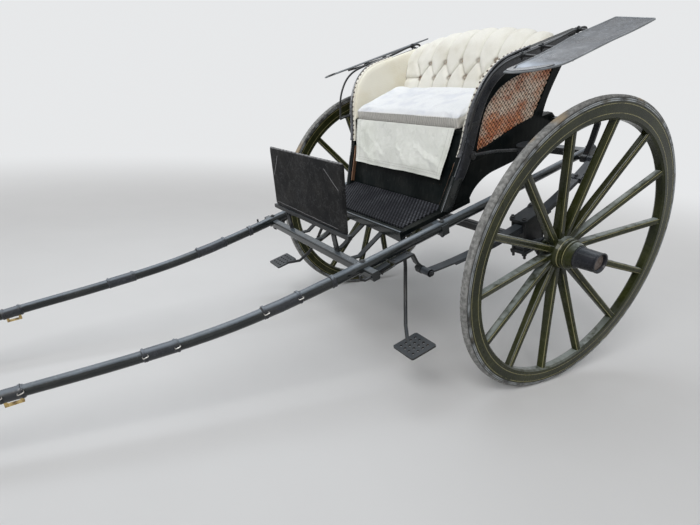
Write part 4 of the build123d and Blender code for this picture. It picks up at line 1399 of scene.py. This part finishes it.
# Body fastenings: bolts, washers and nuts where the irons, springs and cross bars are held,
# and turned flanges at the feet of the brackets. All are forged iron under the same paint.
fastened = []
# The clip bolts of each spring, with their nuts above the block.
for x in (470, 530):
    for y in (-54, 54):
        fastened.append(nut((x, y, 138 + y * 0.105), (0, 0, 1), 10, 9))
        fastened.append(lathe([(0, 6), (12, 6), (13, 5)], (x, y, -42), (0, 0, -1), 14))
# The pins through the springs' front and rear eyes.
for y, z in ((-567, 120), (402, 230)):
    fastened.append(nut((522.5, y, z), (1, 0, 0), 12, 9))
    fastened.append(bolt((448, y, z), (-1, 0, 0), 9, 6))
    fastened.append(lathe([(0, 16.5), (1.5, 16.5), (2.0, 15)], (522, y, z), (1, 0, 0), 24))
fastened.append(bolt((500, 301, 193), (0, -0.36, 0.93), 7, 5))
# The bolts that hold the three cross bars up to the shafts.
for y, x, top in ((-804, 417.5, 254.6), (-402, 420, 253.6), (488, 416.5, 250.2)):
    fastened.append(bolt((x, y, top), (0, 0, 1), 8.5, 5))
    fastened.append(nut((x, y, 196 if y > -700 else 190), (0, 0, -1), 10, 9))
# The dash irons, the floor irons and the trace irons.
for z in (252, 318):
    fastened.append(bolt((212, -800, z), (0, -1, 0), 7.5, 5))
for x in (85, 232):
    fastened.append(bolt((x, -811, 200), (0, -1, 0.2), 7, 4.5))
    fastened.append(nut((x, -540, 233.5), (0, 0, -1), 8, 7))
for x in (451, 437):
    fastened.append(nut((x, -745, 188), (0, 0, -1), 7, 6))
for y in (-678, -612):
    fastened.append(bolt((452, y, 209), (0, 0, 1), 6.5, 4.5))
# The flange of the lamp bracket, screwed to the pillar, and the collar of the step's iron.
flange = [(0, 17), (3, 17), (4, 15), (4.5, 9), (8, 8)]
side = inner_face(456, 0)
fastened.append(lathe(flange, (side + 12, -196, 456), (1, 0.15, 0.05), 24))
for y in (-207, -185):
    fastened.append(bolt((side + 15, y, 456), (1, 0, 0), 3.6, 2.6))
collar = [(0, 22), (3, 22), (4, 19), (6, 12), (12, 10)]
fastened.append(lathe(collar, (352, -548, 242), (0, 0, -1), 28))
# The beads round the lamp socket's mouth and foot.
mouth = [(-4, 34.8), (-2, 35.6), (0, 35.6), (2, 34.8)]
foot = [(-3, 33.8), (0, 34.4), (3, 33.8)]
fastened.append(lathe(mouth, (452, 44, 421), (0, 0, 1), 40))
fastened.append(lathe(foot, (452, 44, 374), (0, 0, 1), 40))
piece("body_fastenings", fastened, iron_look, mirror=True)

# Pillar casing: below the stuffed roll the pillar's outer face is a painted half-round casing
# that runs down to the floor, with a fine bead up its front corner painted pale grey as a painted highlight.
casing_line = smooth_line([(0, -330, 256), (0, -308, 300), (0, -288, 342), (0, -266, 388)], 10)
casing_line = [(inner_face(z, 0) + 0.2, y, z) for _, y, z in casing_line]
bow = [(-1, -24), (7, -23), (10.5, -17), (12, -6), (12, 6), (10.5, 17), (7, 23), (-1, 24)]
piece("pillar_casings", [sweep(casing_line, bow)], shaft_look, mirror=True)
corner_line = smooth_line([(0, -351, 262), (0, -322, 322), (0, -289, 386), (0, -262, 442),
                           (0, -240, 494), (0, -222, 556)], 10)
corner_line = [(inner_face(z, 0) + 1.0, y - 0.4, z) for _, y, z in corner_line]
piece("corner_beads", [sweep(corner_line, circle(1.7, 8))], rim_highlight_look, mirror=True)

# Window bead: a half-round moulding planted round the cane in each side, and a strip of
# varnished wood down the inner edge of each front pillar under a short metal cap.
bead_line = [(inner_face(z, 0.8), y, z) for y, z in resampled(window, 9)]
bead = sweep(bead_line, circle(3.4, 12), closed=True)
inner_line = [(inner_face(z, 23.6), y, z) for y, z in resampled(window, 9)]
inner_bead = sweep(inner_line, circle(2.6, 10), closed=True)
piece("window_beads", [bead, inner_bead], body_look, mirror=True)

wood_look = Look("varnished_wood", Coat_Weight=0.4, Coat_Roughness=0.25)
figure = wood_look.spots(0.3, 0.7, 40, 5, (1, 1, 0.1))
bare = wood_look.mix(figure, (0.30, 0.16, 0.09), (0.16, 0.075, 0.04))
marks = wood_look.spots(0.66, 0.72, 120, 4)
wood_look.set(Base_Color=wood_look.mix(marks, bare, (0.45, 0.34, 0.25)))
wood_look.set(Roughness=wood_look.blend(figure, 0.35, 0.6))
wood_look.bump(figure, 0.0006, 0.4)
strip_line = smooth_line([(0, -325, 278), (0, -298, 333), (0, -272, 384), (0, -248, 436)], 10)
strip_line = [(inner_face(z, 25.6), y, z) for _, y, z in strip_line]
strip = sweep(strip_line, [(-2.0, -11), (-2.0, 11), (1.5, 11.5), (1.5, -11.5)])
piece("pillar_strips", [strip], wood_look, mirror=True)
top = Vector(strip_line[-1])
way = (top - Vector(strip_line[-3])).normalized()
cap = sweep([top - way * 4, top + way * 6], [(-3.2, -12), (-3.2, 12), (1.5, 12), (1.5, -12)])
piece("strip_caps", [cap], bright_look, mirror=True)
